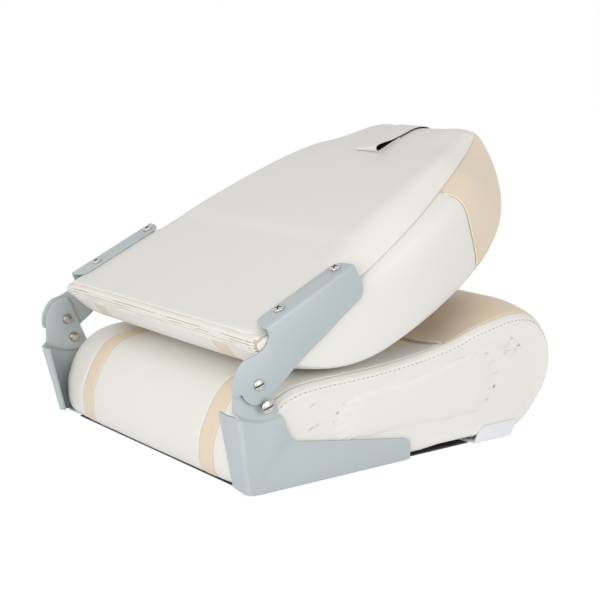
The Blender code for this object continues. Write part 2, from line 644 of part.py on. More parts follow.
def seat_base():
    outline = rounded_rectangle((-BASE_HALF, BASE_FRONT_Y), (BASE_HALF, BASE_REAR_Y), BASE_CORNER)
    base = place("seat_base", prism_mesh(outline, BASE_BOTTOM, BASE_TOP), WHITE_PLASTIC, SEAT)
    middle_y = (BASE_FRONT_Y + BASE_REAR_Y) / 2
    half = PAD_SIZE / 2
    pad = prism_mesh(rounded_rectangle((-half, middle_y - half), (half, middle_y + half), BASE_CORNER / 3),
                     0, BASE_BOTTOM + BASE_THICK / 2)
    boolean(base, as_cutter(pad, SEAT), "UNION")
    for sign in (-1, 1):
        xs = sorted((sign * (BASE_HALF - GAP), sign * (BASE_HALF - RAIL_WIDTH)))
        rail = box_mesh((xs[0], BRACKET_FRONT_Y + OVERRUN, SHEET + GAP),
                        (xs[1], BASE_REAR_Y - BASE_CORNER, BASE_BOTTOM + BASE_THICK / 2))
        boolean(base, as_cutter(rail, SEAT), "UNION")
        boolean(base, guard_mesh(sign), "UNION")
        corner_y = BASE_FRONT_Y + BASE_CORNER
        block = box_mesh((xs[0], corner_y + OVERRUN, GUARD_WALL / 2),
                         (xs[1], corner_y + GUARD_FOOT, BASE_BOTTOM + BASE_THICK / 2))
        boolean(base, as_cutter(block, SEAT), "UNION")
    for x_sign in (-1, 1):
        for y_sign in (-1, 1):
            at = Vector((x_sign * INSERT_PITCH / 2, middle_y + y_sign * INSERT_PITCH / 2, 0))
            top = at + Vector((0, 0, INSERT_LENGTH + 2 * GAP))
            drill(base, INSERT_RADIUS + GAP, at - Vector((0, 0, OVERRUN)), top, SEAT)
            side = "left" if x_sign > 0 else "right"
            end = "rear" if y_sign > 0 else "front"
            profile = [(INSERT_BORE, INSERT_LENGTH), (INSERT_RADIUS, INSERT_LENGTH), (INSERT_RADIUS, 0),
                       (INSERT_BORE, 0)]
            turned(f"threaded_insert_{end}_{side}", profile, at + Vector((0, 0, GAP)), (0, 0, 1), BRASS, SEAT,
                   closed=True)
    for sign, side in ((-1, "right"), (1, "left")):
        for y, end in zip(BASE_SCREW_YS, ("rear", "front")):
            at = (sign * BASE_SCREW_X, y, 0)
            size = (BASE_SCREW_RADIUS, BASE_SCREW_HEAD, SHEET)
            hole = turned("hole", flat_screw_profile(*size, BASE_SCREW_LENGTH + GAP, GAP), at, (0, 0, -1), None,
                          SEAT, collection=CUTTERS)
            hole.hide_render = True
            hole.display_type = "WIRE"
            hole.name = f"cutter_{len(CUTTERS.objects):02d}"
            boolean(base, hole)
            BASE_SCREW_HOLES.append((side, hole))
            turned(f"base_screw_{end}_{side}", flat_screw_profile(*size, BASE_SCREW_LENGTH), at, (0, 0, -1),
                   STEEL, SEAT)
    return base


# Lower bracket: foot and upright in one plane, an ear set inwards, a rear flange and a foot flange
def bevel_bends(bm, bends):
    bmesh.ops.bevel(bm, geom=bends, offset=BEND, segments=3, profile=0.5, affect="EDGES", material=-1)


def lower_bracket(side, sign):
    bm = bmesh.new()
    outer_x, ear_x = sign * OUTER_HALF, sign * EAR_OUTER
    down = -math.pi / 2
    joggle_out, joggle_in = HUB_RADIUS + JOGGLE_CLEAR, HUB_RADIUS + JOGGLE_CLEAR - JOGGLE_RUN
    centre = (PIVOT.y, PIVOT.z)

    def bowed(radius):
        spread = math.asin(EAR_HALF / radius)
        return arc(centre, radius, down - spread, down + spread, 9)

    upright_y = PIVOT.y - EAR_HALF - UPRIGHT_FLARE
    corner = (BRACKET_FRONT_Y + FOOT_CORNER, FOOT_FRONT_HEIGHT - FOOT_CORNER)
    rise = (FOOT_REAR_HEIGHT - FOOT_FRONT_HEIGHT) / (upright_y - BRACKET_FRONT_Y)
    outline = [(BRACKET_FRONT_Y, 0), (BRACKET_FRONT_Y, corner[1])]
    outline += arc(corner, FOOT_CORNER, math.pi * 0.9, math.pi * 0.55, 4)
    outline += [(upright_y - 1.2 * UPRIGHT_FILLET, FOOT_REAR_HEIGHT - 1.2 * UPRIGHT_FILLET * rise),
                (upright_y - 0.35 * UPRIGHT_FILLET, FOOT_REAR_HEIGHT + 0.35 * UPRIGHT_FILLET),
                (upright_y, FOOT_REAR_HEIGHT + 1.3 * UPRIGHT_FILLET)]
    edge = [bm.verts.new((outer_x, y, z)) for y, z in outline]
    arc_out = [bm.verts.new((outer_x, y, z)) for y, z in bowed(joggle_out)]
    arc_in = [bm.verts.new((ear_x, y, z)) for y, z in bowed(joggle_in)]
    rear_top = bm.verts.new((outer_x, BRACKET_REAR_Y + REAR_LEAN, REAR_FLANGE_HEIGHT))
    rear_foot = bm.verts.new((outer_x, BRACKET_REAR_Y, 0))
    relief = bm.verts.new((outer_x, BRACKET_REAR_Y - CORNER_RELIEF, 0))
    bm.faces.new(edge + arc_out + [rear_top, rear_foot, relief])
    for i in range(len(arc_out) - 1):
        bm.faces.new((arc_out[i], arc_out[i + 1], arc_in[i + 1], arc_in[i]))
    crown = [bm.verts.new((ear_x, y, z)) for y, z in arc(centre, EAR_HALF, 0, math.pi, 9)]
    bm.faces.new(arc_in + crown)

    def on_flange(inward, height):
        y = BRACKET_REAR_Y + REAR_LEAN * height / REAR_FLANGE_HEIGHT + REAR_SPLAY * inward / REAR_FLANGE
        return bm.verts.new((sign * (OUTER_HALF - inward), y, height))

    flange = [on_flange(REAR_FLANGE * 0.5, REAR_FLANGE_HEIGHT - REAR_SCOOP),
              on_flange(REAR_FLANGE, REAR_FLANGE_HEIGHT), on_flange(REAR_FLANGE * 0.8, REAR_FOOT_RISE),
              on_flange(CORNER_RELIEF * 1.5, CORNER_RELIEF / 2)]
    bm.faces.new([rear_foot, rear_top] + flange)
    foot_x = sign * (OUTER_HALF - FOOT_FLANGE)
    foot = [bm.verts.new((foot_x, BRACKET_REAR_Y - CORNER_RELIEF - FOOT_CORNER, 0)),
            bm.verts.new((foot_x, BRACKET_FRONT_Y + FOOT_CORNER, 0))]
    bm.faces.new((relief, foot[0], foot[1], edge[0]))
    outward(bm, sign)
    bevel_bends(bm, [bm.edges.get((rear_foot, rear_top)), bm.edges.get((relief, edge[0]))])
    bracket = finished(f"lower_bracket_{side}", bm, PAINTED_STEEL, SEAT)
    thickness(bracket, SHEET)
    for at, radius in ((PIVOT, PIVOT_RADIUS), (STOP, STOP_RADIUS)):
        drill(bracket, radius + GAP, (ear_x + OVERRUN, at.y, at.z), (ear_x - OVERRUN, at.y, at.z), SEAT)
    for hole_side, hole in BASE_SCREW_HOLES:
        if hole_side == side:
            boolean(bracket, hole)


# Screws across the hinge
def domed_screw(name, at, sign, radius, head, dome, inner_x, outer_x):
    """A slotted screw along X, its domed head outside outer_x and its end at inner_x."""
    edge = dome * 0.35
    dome_arc = [(head * math.sin(t), edge + (dome - edge) * math.cos(t)) for t in DOME_ANGLES]
    profile = dome_arc + [(head, 0), (radius, 0), (radius, inner_x - outer_x), (0, inner_x - outer_x)]
    screw = turned(name, profile, (sign * outer_x, at.y, at.z), (sign, 0, 0), STEEL, SEAT)
    slot = box_mesh((outer_x + dome - SLOT_DEPTH, -2 * head, -SLOT_WIDTH / 2),
                    (outer_x + dome + OVERRUN, 2 * head, SLOT_WIDTH / 2))
    cutter = as_cutter(slot, SEAT)
    mirror = Matrix.Diagonal((sign, sign, 1, 1))
    cutter.matrix_local = Matrix.Translation((0, at.y, at.z)) @ mirror @ Matrix.Rotation(SLOT_TURN, 4, "X")
    boolean(screw, cutter)
    return screw


def hex_nut(name, at, sign, radius):
    """A nut against the inner face of the ear."""
    outer = EAR_OUTER - SHEET - GAP
    nut = rod_mesh(NUT_ACROSS / 2 / math.cos(math.pi / 6), (sign * outer, at.y, at.z),
                   (sign * (outer - NUT_HEIGHT), at.y, at.z), sides=6)
    nut = place(name, nut, STEEL, SEAT)
    drill(nut, radius + GAP, (sign * (outer + OVERRUN), at.y, at.z),
          (sign * (outer - NUT_HEIGHT - OVERRUN), at.y, at.z), SEAT)


def hinge_hardware(side, sign):
    end_x = EAR_OUTER - SHEET - GAP - NUT_HEIGHT - THREAD_PAST_NUT
    domed_screw(f"pivot_screw_{side}", PIVOT, sign, PIVOT_RADIUS, PIVOT_HEAD, PIVOT_DOME, end_x,
                OUTER_HALF + GAP)
    domed_screw(f"stop_screw_{side}", STOP, sign, STOP_RADIUS, STOP_HEAD, STOP_DOME, end_x,
                OUTER_HALF + STOP_STAND_OFF)
    hex_nut(f"pivot_nut_{side}", PIVOT, sign, PIVOT_RADIUS)
    hex_nut(f"stop_nut_{side}", STOP, sign, STOP_RADIUS)
    bore = PIVOT_RADIUS + GAP
    washer = [(bore, 0), (WASHER_RADIUS, 0), (WASHER_RADIUS, -WASHER), (bore, -WASHER)]
    turned(f"pivot_washer_{side}", washer, (sign * (ARM_INNER_HALF - GAP), PIVOT.y, PIVOT.z), (sign, 0, 0),
           NYLON, SEAT, closed=True)


# Backrest arm, in the backrest's frame: hub, notch for the stop, tapering plate, flange over the rear face
def arm(side, sign):
    bm = bmesh.new()
    plate_x = sign * OUTER_HALF
    stop_polar = math.pi - BACK_TILT - STOP_ANGLE + 2 * math.pi
    wall = stop_polar - OPEN_ANGLE - math.asin((STOP_RADIUS + GAP) / STOP_REACH)
    outline = arc((0, 0), HUB_RADIUS, HUB_START, HUB_END, 12)
    outline += [((HUB_RADIUS - BEND / 2) * math.cos(wall), (HUB_RADIUS - BEND / 2) * math.sin(wall)),
                ((NOTCH_RADIUS + BEND / 2) * math.cos(wall), (NOTCH_RADIUS + BEND / 2) * math.sin(wall))]
    outline += arc((0, 0), NOTCH_RADIUS, wall + STOP_RADIUS / NOTCH_RADIUS / 2, stop_polar, 9)
    outline += [(along * ARM_REACH, out * ARM_REACH) for along, out in ARM_LOWER_SHARES]
    bend_far = bm.verts.new((plate_x, ARM_FLANGE_END_SHARES[-1][0] * ARM_REACH, ARM_TOP))
    bend_near = bm.verts.new((plate_x, ARM_FLANGE_END_SHARES[0][0] * ARM_REACH, ARM_TOP))
    neck = [(along * ARM_REACH, out * ARM_REACH) for along, out in ARM_NECK_SHARES]
    bm.faces.new([bm.verts.new((plate_x, a, b)) for a, b in outline] + [bend_far, bend_near]
                 + [bm.verts.new((plate_x, a, b)) for a, b in neck])
    inner = [bm.verts.new((sign * (OUTER_HALF - across * ARM_FLANGE), along * ARM_REACH, ARM_TOP))
             for along, across in reversed(ARM_FLANGE_END_SHARES[1:-1])]
    bm.faces.new([bend_far] + inner + [bend_near])
    outward(bm, sign)
    bevel_bends(bm, [bm.edges.get((bend_far, bend_near))])
    made = finished(f"arm_{side}", bm, PAINTED_STEEL, BACK)
    thickness(made, SHEET)
    drill(made, PIVOT_RADIUS + GAP, (plate_x + OVERRUN, 0, 0), (plate_x - OVERRUN, 0, 0), BACK)
    for along in ARM_SCREWS:
        x = sign * ARM_SCREW_X
        drill(made, ARM_SCREW_RADIUS + GAP, (x, along, ARM_TOP + OVERRUN), (x, along, ARM_TOP - OVERRUN), BACK)


def arm_screws(side, sign):
    for along, end in zip(ARM_SCREWS, ("near", "far")):
        x = sign * ARM_SCREW_X
        under_head = ARM_TOP + GAP
        edge = ARM_SCREW_DOME * 0.45
        dome = [(ARM_SCREW_HEAD * math.sin(t), edge + (ARM_SCREW_DOME - edge) * math.cos(t))
                for t in DOME_ANGLES]
        shank = ARM_SCREW_END - under_head
        profile = dome + [(ARM_SCREW_HEAD, 0), (ARM_SCREW_RADIUS, 0), (ARM_SCREW_RADIUS, shank), (0, shank)]
        screw = turned(f"arm_screw_{end}_{side}", profile, (x, along, under_head), (0, 0, 1), STEEL, BACK)
        top = under_head + ARM_SCREW_DOME
        for turn in (math.pi / 4, -math.pi / 4):
            bar = box_mesh((-ARM_SCREW_HEAD / 2, -CROSS_WIDTH / 2, top - CROSS_DEPTH),
                           (ARM_SCREW_HEAD / 2, CROSS_WIDTH / 2, top + OVERRUN))
            cutter = as_cutter(bar, BACK)
            cutter.matrix_local = Matrix.Translation((x, along, 0)) @ Matrix.Rotation(turn, 4, "Z")
            boolean(screw, cutter)
        bore = ARM_SCREW_RADIUS + GAP
        barrel_top = BOARD_TOP - BOARD_BOTTOM - GAP
        t_nut = [(bore, barrel_top), (T_NUT_BARREL, barrel_top), (T_NUT_BARREL, -GAP),
                 (T_NUT_RADIUS, -GAP), (T_NUT_RADIUS, -GAP - T_NUT_FLANGE), (bore, -GAP - T_NUT_FLANGE)]
        turned(f"t_nut_{end}_{side}", t_nut, (x, along, BOARD_BOTTOM), (0, 0, 1), STEEL, BACK, closed=True)


# Backrest cushion
def back_section(shares):
    return [(HEM_REACH + along * BACK_LENGTH, BACK_RISE - down * BACK_THICK) for along, down in shares]


def back_cushion():
    middle, side = back_section(BACK_MIDDLE_SHARES), back_section(BACK_SIDE_SHARES)
    halves = [share * BACK_SEAM_HALF for share in BACK_SEAM_SHARES]
    stations = mirrored_stations(BACK_ACROSS_SHARES)
    rings = [[(sign * share * half, blend(m[0], s[0], weight), blend(m[1], s[1], weight))
              for m, s, half in zip(middle, side, halves)] for sign, share, weight in stations]
    count = len(middle)
    widest = []
    for i, (along, wide) in enumerate(BACK_WIDEST_SHARES):
        out, pair_out = side[i][1], side[count - 1 - i][1]
        widest.append((wide * BACK_HALF, HEM_REACH + along * BACK_LENGTH,
                       blend((out + pair_out) / 2, out, SIDE_ROUND_SHARE)))
    caps = [[(sign * x, along, out) for x, along, out in widest] for sign in (-1, 1)]
    rings = [caps[0]] + rings + [caps[1]]
    last = len(stations) - 2

    def ring_tag(station, i):
        if station in (0, len(rings) - 2):
            if BACK_SIDE_BOLSTER_INDEX <= i < BACK_BOLSTER_END_INDEX:
                return BOLSTER
            return SIDE_LOW if station == 0 else SIDE_HIGH
        if i == BACK_OPEN_INDEX:
            return OPEN
        if BACK_BOLSTER_START_INDEX <= i < BACK_BOLSTER_END_INDEX:
            return BOLSTER
        # The stripes run along the front face only
        if i < BACK_BOLSTER_START_INDEX:
            return REAR
        return panel_tag(station - 1, last)

    nose = count // 2
    side_faces = [((i, i + 1, count - 2 - i, count - 1 - i), i >= BACK_SIDE_BOLSTER_INDEX)
                  for i in range(nose - 1)]
    side_faces.append(((nose - 1, nose, nose + 1), True))
    cage = cushion_cage("back_cage", rings, BACK_LOOSE_INDICES, False, ring_tag, side_faces, BACK)
    skin = evaluated_mesh(cage)
    rear = panel("back_cover_rear", skin, {REAR}, WHITE_VINYL, BACK)
    panel("back_cover_front", skin, {MIDDLE}, WHITE_VINYL, BACK)
    panel("back_stripe_left", skin, {STRIPE_LOW}, BEIGE_VINYL, BACK)
    panel("back_stripe_right", skin, {STRIPE_HIGH}, BEIGE_VINYL, BACK)
    panel("back_cover_edge_left", skin, {EDGE_LOW}, WHITE_VINYL, BACK)
    panel("back_cover_edge_right", skin, {EDGE_HIGH}, WHITE_VINYL, BACK)
    panel("back_side_panel_left", skin, {SIDE_LOW}, WHITE_VINYL, BACK)
    panel("back_side_panel_right", skin, {SIDE_HIGH}, WHITE_VINYL, BACK)
    panel("back_bolster", skin, {BOLSTER}, BEIGE_VINYL, BACK)
    front = finished("back_foam", foam_mesh(cage, skin, [(BOARD_BOTTOM - GAP, False)]), FOAM, BACK)
    padding = finished("back_padding", foam_mesh(cage, skin, [(BOARD_TOP + GAP, True)]), FOAM, BACK)
    board = back_board()
    for sign in (-1, 1):
        for along in ARM_SCREWS:
            x = sign * ARM_SCREW_X
            for piece, radius in ((rear, ARM_SCREW_RADIUS + GAP), (padding, ARM_SCREW_RADIUS + GAP),
                                  (board, T_NUT_BARREL + GAP)):
                drill(piece, radius, (x, along, ARM_TOP + OVERRUN), (x, along, BOARD_BOTTOM - OVERRUN), BACK)
            drill(front, T_NUT_RADIUS + GAP, (x, along, BOARD_TOP), (x, along, ARM_SCREW_END - GAP), BACK)
    strap(skin)


def back_board():
    """The board follows the side seams inwards and stops short of the hem and the far bolster."""
    low = HEM_REACH + BOARD_START
    seam = [(along, half) for (along, _), half in zip(BACK_SIDE_SHARES, BACK_SEAM_SHARES)][:8]
    right = [(half * BACK_SEAM_HALF - BOARD_MARGIN, max(low, HEM_REACH + along * BACK_LENGTH))
             for along, half in seam]
    outline = right + [(-x, along) for x, along in reversed(right)]
    return place("back_board", prism_mesh(outline, BOARD_BOTTOM, BOARD_TOP), PLYWOOD, BACK)


def hem():
    """Folds of vinyl that close the hinge end, ribbed along it."""
    rib = HEM_THICK / HEM_RIBS
    top = BACK_RISE
    back = HEM_REACH + HEM_TUCK
    outline = [(back, top - HEM_THICK), (back, top)]
    for i in range(HEM_RIBS):
        middle = top - (i + 0.5) * rib
        points = arc((0, 0), 1, math.pi / 2, 3 * math.pi / 2, 5)
        outline += [(back - HEM_DEPTH / 2 + rib * CRIMP_SHARE * a, middle + rib / 2 * b) for a, b in points]
    bm = bmesh.new()
    face = bm.faces.new([bm.verts.new((-HEM_HALF, a, b)) for a, b in outline])
    raised = bmesh.ops.extrude_face_region(bm, geom=[face])
    verts = [item for item in raised["geom"] if isinstance(item, bmesh.types.BMVert)]
    bmesh.ops.translate(bm, vec=(2 * HEM_HALF, 0, 0), verts=verts)
    bmesh.ops.remove_doubles(bm, verts=bm.verts, dist=GAP / 10)
    bmesh.ops.recalc_face_normals(bm, faces=bm.faces)
    finished("back_hem", bm, WHITE_VINYL, BACK)


def strap(skin):
    """Hold-down strap: sewn to the top end, over the crest, folded back under itself, a stud on its tail."""
    tree = BVHTree.FromPolygons([vert.co for vert in skin.vertices], [list(p.vertices) for p in skin.polygons])
    centre_x = -STRAP_OFFSET

    def above(along, lift):
        hit = tree.ray_cast(Vector((centre_x, along, BACK_RISE + BACK_THICK)), Vector((0, 0, -1)))[0]
        return Vector((along, hit.z + lift))

    def beyond(out, lift):
        hit = tree.ray_cast(Vector((centre_x, 2 * BACK_LENGTH, out)), Vector((0, -1, 0)))[0]
        return Vector((hit.y + lift, out))

    half = STRAP_THICK / 2
    clear = STRAP_CLEAR + half
    loop = STRAP_LOOP
    step = (STRAP_TAIL - STRAP_FOLD) / 4
    tail = [above(STRAP_TAIL - i * step, clear) for i in range(4)]
    fold = [above(STRAP_FOLD, clear) + Vector((loop * math.cos(t), loop + loop * math.sin(t)))
            for t in STRAP_FOLD_ANGLES]
    lift = 2 * loop
    upper = [above(STRAP_FOLD + i * step, clear + blend(lift, half + GAP, i / 6)) for i in (1, 2, 3)]
    rest = [above(STRAP_TAIL + 2 * half, clear + STRAP_THICK + GAP)]
    crest = HEM_REACH + BACK_LENGTH
    over = [above(blend(STRAP_TAIL, crest, share), 2 * clear) for share in STRAP_OVER_SHARES]
    ends = [beyond(blend(over[-1].y, STRAP_END, share), 2 * clear) for share in STRAP_DOWN_SHARES]
    path = tail + fold + upper + rest + over + ends
    bm = bmesh.new()
    rows = [[bm.verts.new((centre_x + s * STRAP_WIDTH / 2, p.x, p.y)) for p in path] for s in (-1, 1)]
    for i in range(len(path) - 1):
        bm.faces.new((rows[0][i], rows[0][i + 1], rows[1][i + 1], rows[1][i]))
    made = finished("hold_down_strap", bm, WHITE_VINYL, BACK)
    solid = made.modifiers.new("thickness", "SOLIDIFY")
    solid.thickness = STRAP_THICK
    solid.offset = 0
    solid.use_even_offset = True
    seat_point = above(STRAP_FOLD + 2 * step, clear + half + STRAP_CLEAR)
    profile = [(0, STUD_THICK), (STUD_RADIUS, STUD_THICK), (STUD_RADIUS, 0), (0, 0)]
    turned("strap_stud", profile, (centre_x, *seat_point), (0, 0, 1), STEEL, BACK)


def build():
    seat_cushion()
    seat_base()
    for side, sign in (("right", -1), ("left", 1)):
        lower_bracket(side, sign)
        hinge_hardware(side, sign)
    back_cushion()
    hem()
    for side, sign in (("right", 1), ("left", -1)):
        arm(side, sign)
        arm_screws(side, sign)


build()
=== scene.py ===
# %% [markdown]
# # A folding boat seat, dressed piece by piece
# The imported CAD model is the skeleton: it gives each piece its place and its joint. This notebook gives the
# seat its skin: sewn vinyl over foam, painted sheet steel, bright screws and a moulded base. It starts by
# loading the skeleton, because every piece has to ride on one of its bodies.

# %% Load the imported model
import math

import bmesh
import bpy
from mathutils import Matrix, Vector, kdtree, noise
from mathutils.bvhtree import BVHTree


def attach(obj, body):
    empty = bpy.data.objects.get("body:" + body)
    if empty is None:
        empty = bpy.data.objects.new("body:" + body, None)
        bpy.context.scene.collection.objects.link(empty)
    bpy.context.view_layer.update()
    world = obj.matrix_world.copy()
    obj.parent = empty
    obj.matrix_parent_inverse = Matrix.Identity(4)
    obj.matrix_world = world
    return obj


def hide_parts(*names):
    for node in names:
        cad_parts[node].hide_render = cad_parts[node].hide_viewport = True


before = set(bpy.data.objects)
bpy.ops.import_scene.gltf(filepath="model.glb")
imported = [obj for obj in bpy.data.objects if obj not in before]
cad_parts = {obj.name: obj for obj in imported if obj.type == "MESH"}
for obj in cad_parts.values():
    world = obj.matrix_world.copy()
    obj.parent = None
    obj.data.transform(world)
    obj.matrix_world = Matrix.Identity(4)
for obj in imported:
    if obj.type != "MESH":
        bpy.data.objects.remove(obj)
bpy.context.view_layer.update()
MM = 0.001

# %% [markdown]
# ## Camera
# The photograph looks at the rear right corner of the seat from just above it, through a long lens. A long
# lens keeps parallel edges nearly parallel, so the distance and the focal length belong together.

# %% Camera
VIEW_AZIMUTH, VIEW_ELEVATION, VIEW_ROLL = (math.radians(angle) for angle in (230.513, 10.335, 1.632))
VIEW_DISTANCE = 1576.31 * MM
VIEW_TARGET = Vector((-0.92, 20.07, 158.95)) * MM
SENSOR_MM, FOCAL_MM = 36.0, 73.9


def photo_camera():
    flat = math.cos(VIEW_ELEVATION)
    back = Vector((math.sin(VIEW_AZIMUTH) * flat, -math.cos(VIEW_AZIMUTH) * flat, math.sin(VIEW_ELEVATION)))
    level_right = (-back).cross(Vector((0, 0, 1))).normalized()
    level_up = level_right.cross(-back)
    right = math.cos(VIEW_ROLL) * level_right + math.sin(VIEW_ROLL) * level_up
    up = math.cos(VIEW_ROLL) * level_up - math.sin(VIEW_ROLL) * level_right
    data = bpy.data.cameras.new("photo_camera")
    data.lens, data.sensor_width = FOCAL_MM, SENSOR_MM
    made = bpy.data.objects.new("photo_camera", data)
    turn = Matrix((right, up, back)).transposed().to_4x4()
    made.matrix_world = Matrix.Translation(VIEW_TARGET + back * VIEW_DISTANCE) @ turn
    bpy.context.scene.collection.objects.link(made)
    bpy.context.scene.camera = made
    return made


camera = photo_camera()
print("camera at", [round(value, 3) for value in camera.matrix_world.translation])

# %% [markdown]
# ## One function for nodes, one for colours
# A material is a small graph. Writing it by hand takes a call for the node, one for each setting and one for
# each link, so a single helper does all three. Colours are written as the hex values seen on a screen, and
# one function turns them into the linear values that a renderer adds up.

# %% Helpers for materials


def linear(hex_colour):
    parts = [int(hex_colour[i:i + 2], 16) / 255 for i in (0, 2, 4)]
    return [p / 12.92 if p <= 0.04045 else ((p + 0.055) / 1.055) ** 2.4 for p in parts] + [1.0]


def add_node(tree, kind, inputs=None, **settings):
    """Adds a node with its settings. An input is a value, or another node's output to link."""
    made = tree.nodes.new(kind)
    for name, value in settings.items():
        setattr(made, name, value)
    for socket, value in (inputs or {}).items():
        if isinstance(value, bpy.types.NodeSocket):
            tree.links.new(value, made.inputs[socket])
        else:
            made.inputs[socket].default_value = value
    return made


def surface_finish(name, colours, roughness, cloud_mm, grain, metallic=0.0, relief=None, **sockets):
    """A Principled material. Two close colours are mixed by a cloud of the given size, the roughness wanders
    between two values, and a grain of (kind, size in mm, height in mm) roughens the surface."""
    made = bpy.data.materials.new(name)
    made.use_nodes = True
    tree = made.node_tree
    shader = tree.nodes["Principled BSDF"]
    place = add_node(tree, "ShaderNodeTexCoord").outputs["Object"]
    cloud = add_node(tree, "ShaderNodeTexNoise",
                     {"Vector": place, "Scale": 1 / (cloud_mm * MM), "Detail": 3.0, "Roughness": 0.55})
    tint = add_node(tree, "ShaderNodeMix", {0: cloud.outputs["Fac"], 6: linear(colours[0]), 7: linear(colours[1])},
                    data_type="RGBA")
    tree.links.new(tint.outputs[2], shader.inputs["Base Color"])
    wear = add_node(tree, "ShaderNodeTexNoise", {"Vector": place, "Scale": 2.3 / (cloud_mm * MM), "Detail": 2.0})
    rough = add_node(tree, "ShaderNodeMapRange",
                     {"Value": wear.outputs["Fac"], "To Min": roughness[0], "To Max": roughness[1]})
    tree.links.new(rough.outputs["Result"], shader.inputs["Roughness"])
    shader.inputs["Metallic"].default_value = metallic
    for socket, value in sockets.items():
        shader.inputs[socket.replace("_", " ")].default_value = value
    height_below = None
    for kind, size_mm, height_mm in ([relief] if relief else []) + [grain]:
        if kind == "cells":
            pattern = add_node(tree, "ShaderNodeTexVoronoi",
                               {"Vector": place, "Scale": 1 / (size_mm * MM), "Smoothness": 0.6},
                               feature="SMOOTH_F1").outputs["Distance"]
        elif kind == "bands":
            pattern = add_node(tree, "ShaderNodeTexWave",
                               {"Vector": place, "Scale": 0.16 / (size_mm * MM), "Distortion": 0.6},
                               bands_direction="DIAGONAL").outputs["Fac"]
        else:
            pattern = add_node(tree, "ShaderNodeTexNoise",
                               {"Vector": place, "Scale": 1 / (size_mm * MM), "Detail": 2.0}).outputs["Fac"]
        bump = add_node(tree, "ShaderNodeBump", {"Height": pattern, "Strength": 1.0, "Distance": height_mm * MM})
        if height_below:
            tree.links.new(height_below, bump.inputs["Normal"])
        height_below = bump.outputs["Normal"]
    tree.links.new(height_below, shader.inputs["Normal"])
    made.diffuse_color = linear(colours[0])
    return made


# %% [markdown]
# ## Marine vinyl
# The covers are PVC-coated cloth, pressed with a fine leather grain on a roller and made slightly waxy so that
# water runs off. To the eye that is a soft, broad highlight and almost no visible grain from a step away. The
# real pores are under a millimetre across, too fine for one pixel of the picture, so the cells are drawn at
# 1.6 mm, which shows from close by.

# %% Vinyl finishes
WHITE_VINYL = surface_finish("white_marine_vinyl", ("E7E4DC", "E4E1D9"), (0.40, 0.50), 90,
                             ("cells", 1.6, 0.035), relief=("noise", 9, 0.03), IOR=1.49, Sheen_Weight=0.06,
                             Sheen_Roughness=0.5)
BEIGE_VINYL = surface_finish("beige_marine_vinyl", ("E4D3BA", "E1CFB6"), (0.40, 0.50), 90,
                             ("cells", 1.6, 0.035), relief=("noise", 9, 0.03), IOR=1.49, Sheen_Weight=0.06,
                             Sheen_Roughness=0.5)
# Piping is the same vinyl stretched round a cord, which smooths the grain and makes it glossier
CREAM_PIPING = surface_finish("cream_vinyl_piping", ("EDE2CD", "E8DCC5"), (0.30, 0.38), 40,
                              ("noise", 1.2, 0.02), IOR=1.49)
# The folds of the hem are thin unbacked vinyl, a little brighter than the covers
HEM_VINYL = surface_finish("gathered_hem_vinyl", ("EDE9E1", "E4DED2"), (0.36, 0.46), 25,
                           ("noise", 1.5, 0.05), IOR=1.49, Sheen_Weight=0.05)

# Between two folds the same vinyl lies in shade
FOLD_SHADE = surface_finish("hem_vinyl_between_folds", ("CDC3B1", "BFB4A0"), (0.45, 0.55), 25,
                            ("noise", 1.5, 0.05), IOR=1.49)

# %% [markdown]
# ## Painted and plated steel, plastics, thread
# The brackets are pressed mild steel under a stoved blue-grey paint: a satin coat whose surface is very
# slightly wavy, like orange peel. The screws are bright zinc-plated steel, so they are metal all through and
# take their colour from what they reflect. The base is polypropylene from a mould with a fine matt texture.

# %% Hard finishes
BLUE_GREY_PAINT = surface_finish("blue_grey_stoved_paint", ("B6BEBE", "B2BBBC"), (0.34, 0.42), 70,
                                 ("noise", 1.4, 0.012), IOR=1.5, Coat_Weight=0.15, Coat_Roughness=0.25)
BRIGHT_STEEL = surface_finish("bright_zinc_plated_steel", ("CFCDCA", "B9B6B2"), (0.16, 0.26), 6,
                              ("noise", 0.6, 0.006), metallic=1.0)
DULL_STEEL = surface_finish("dull_plated_steel", ("C6C1B8", "A39C91"), (0.22, 0.34), 4,
                            ("noise", 0.8, 0.01), metallic=1.0)
WHITE_PLASTIC = surface_finish("moulded_white_polypropylene", ("E3E3E5", "DFDFE2"), (0.34, 0.44), 50,
                               ("noise", 1.0, 0.02), IOR=1.49)
NYLON = surface_finish("turned_nylon", ("DAD8D0", "D2D0C6"), (0.40, 0.50), 15, ("noise", 1.0, 0.01), IOR=1.53)
BRASS = surface_finish("turned_brass", ("C8A858", "B39345"), (0.28, 0.40), 8, ("bands", 0.7, 0.01), metallic=1.0)
PLYWOOD = surface_finish("birch_plywood", ("C9A877", "B88F5C"), (0.6, 0.75), 30, ("bands", 1.5, 0.08))
THREAD = surface_finish("bonded_polyester_thread", ("E4DFD4", "DAD4C6"), (0.5, 0.6), 5, ("bands", 0.4, 0.05))
# Painted shade: dark dots between the stitches stand for the shade in the needle holes
NEEDLE_HOLE_SHADOW = surface_finish("needle_hole_shadow", ("857D70", "766E62"), (0.8, 0.9), 5, ("noise", 0.5, 0.02))
# Painted shade: a black layer under the strap stands for the shade inside its fold
STRAP_INNER_SHADE = surface_finish("black_painted_shade_in_strap_fold", ("1D1C1A", "262422"), (0.6, 0.75), 10, ("bands", 0.8, 0.06))
# Painted shade: the faces cut by the slots and crosses of the screws are near black
SLOT_SHADE = surface_finish("near_black_painted_slot_shade", ("35322F", "211F1E"), (0.4, 0.6), 3, ("noise", 0.5, 0.02))
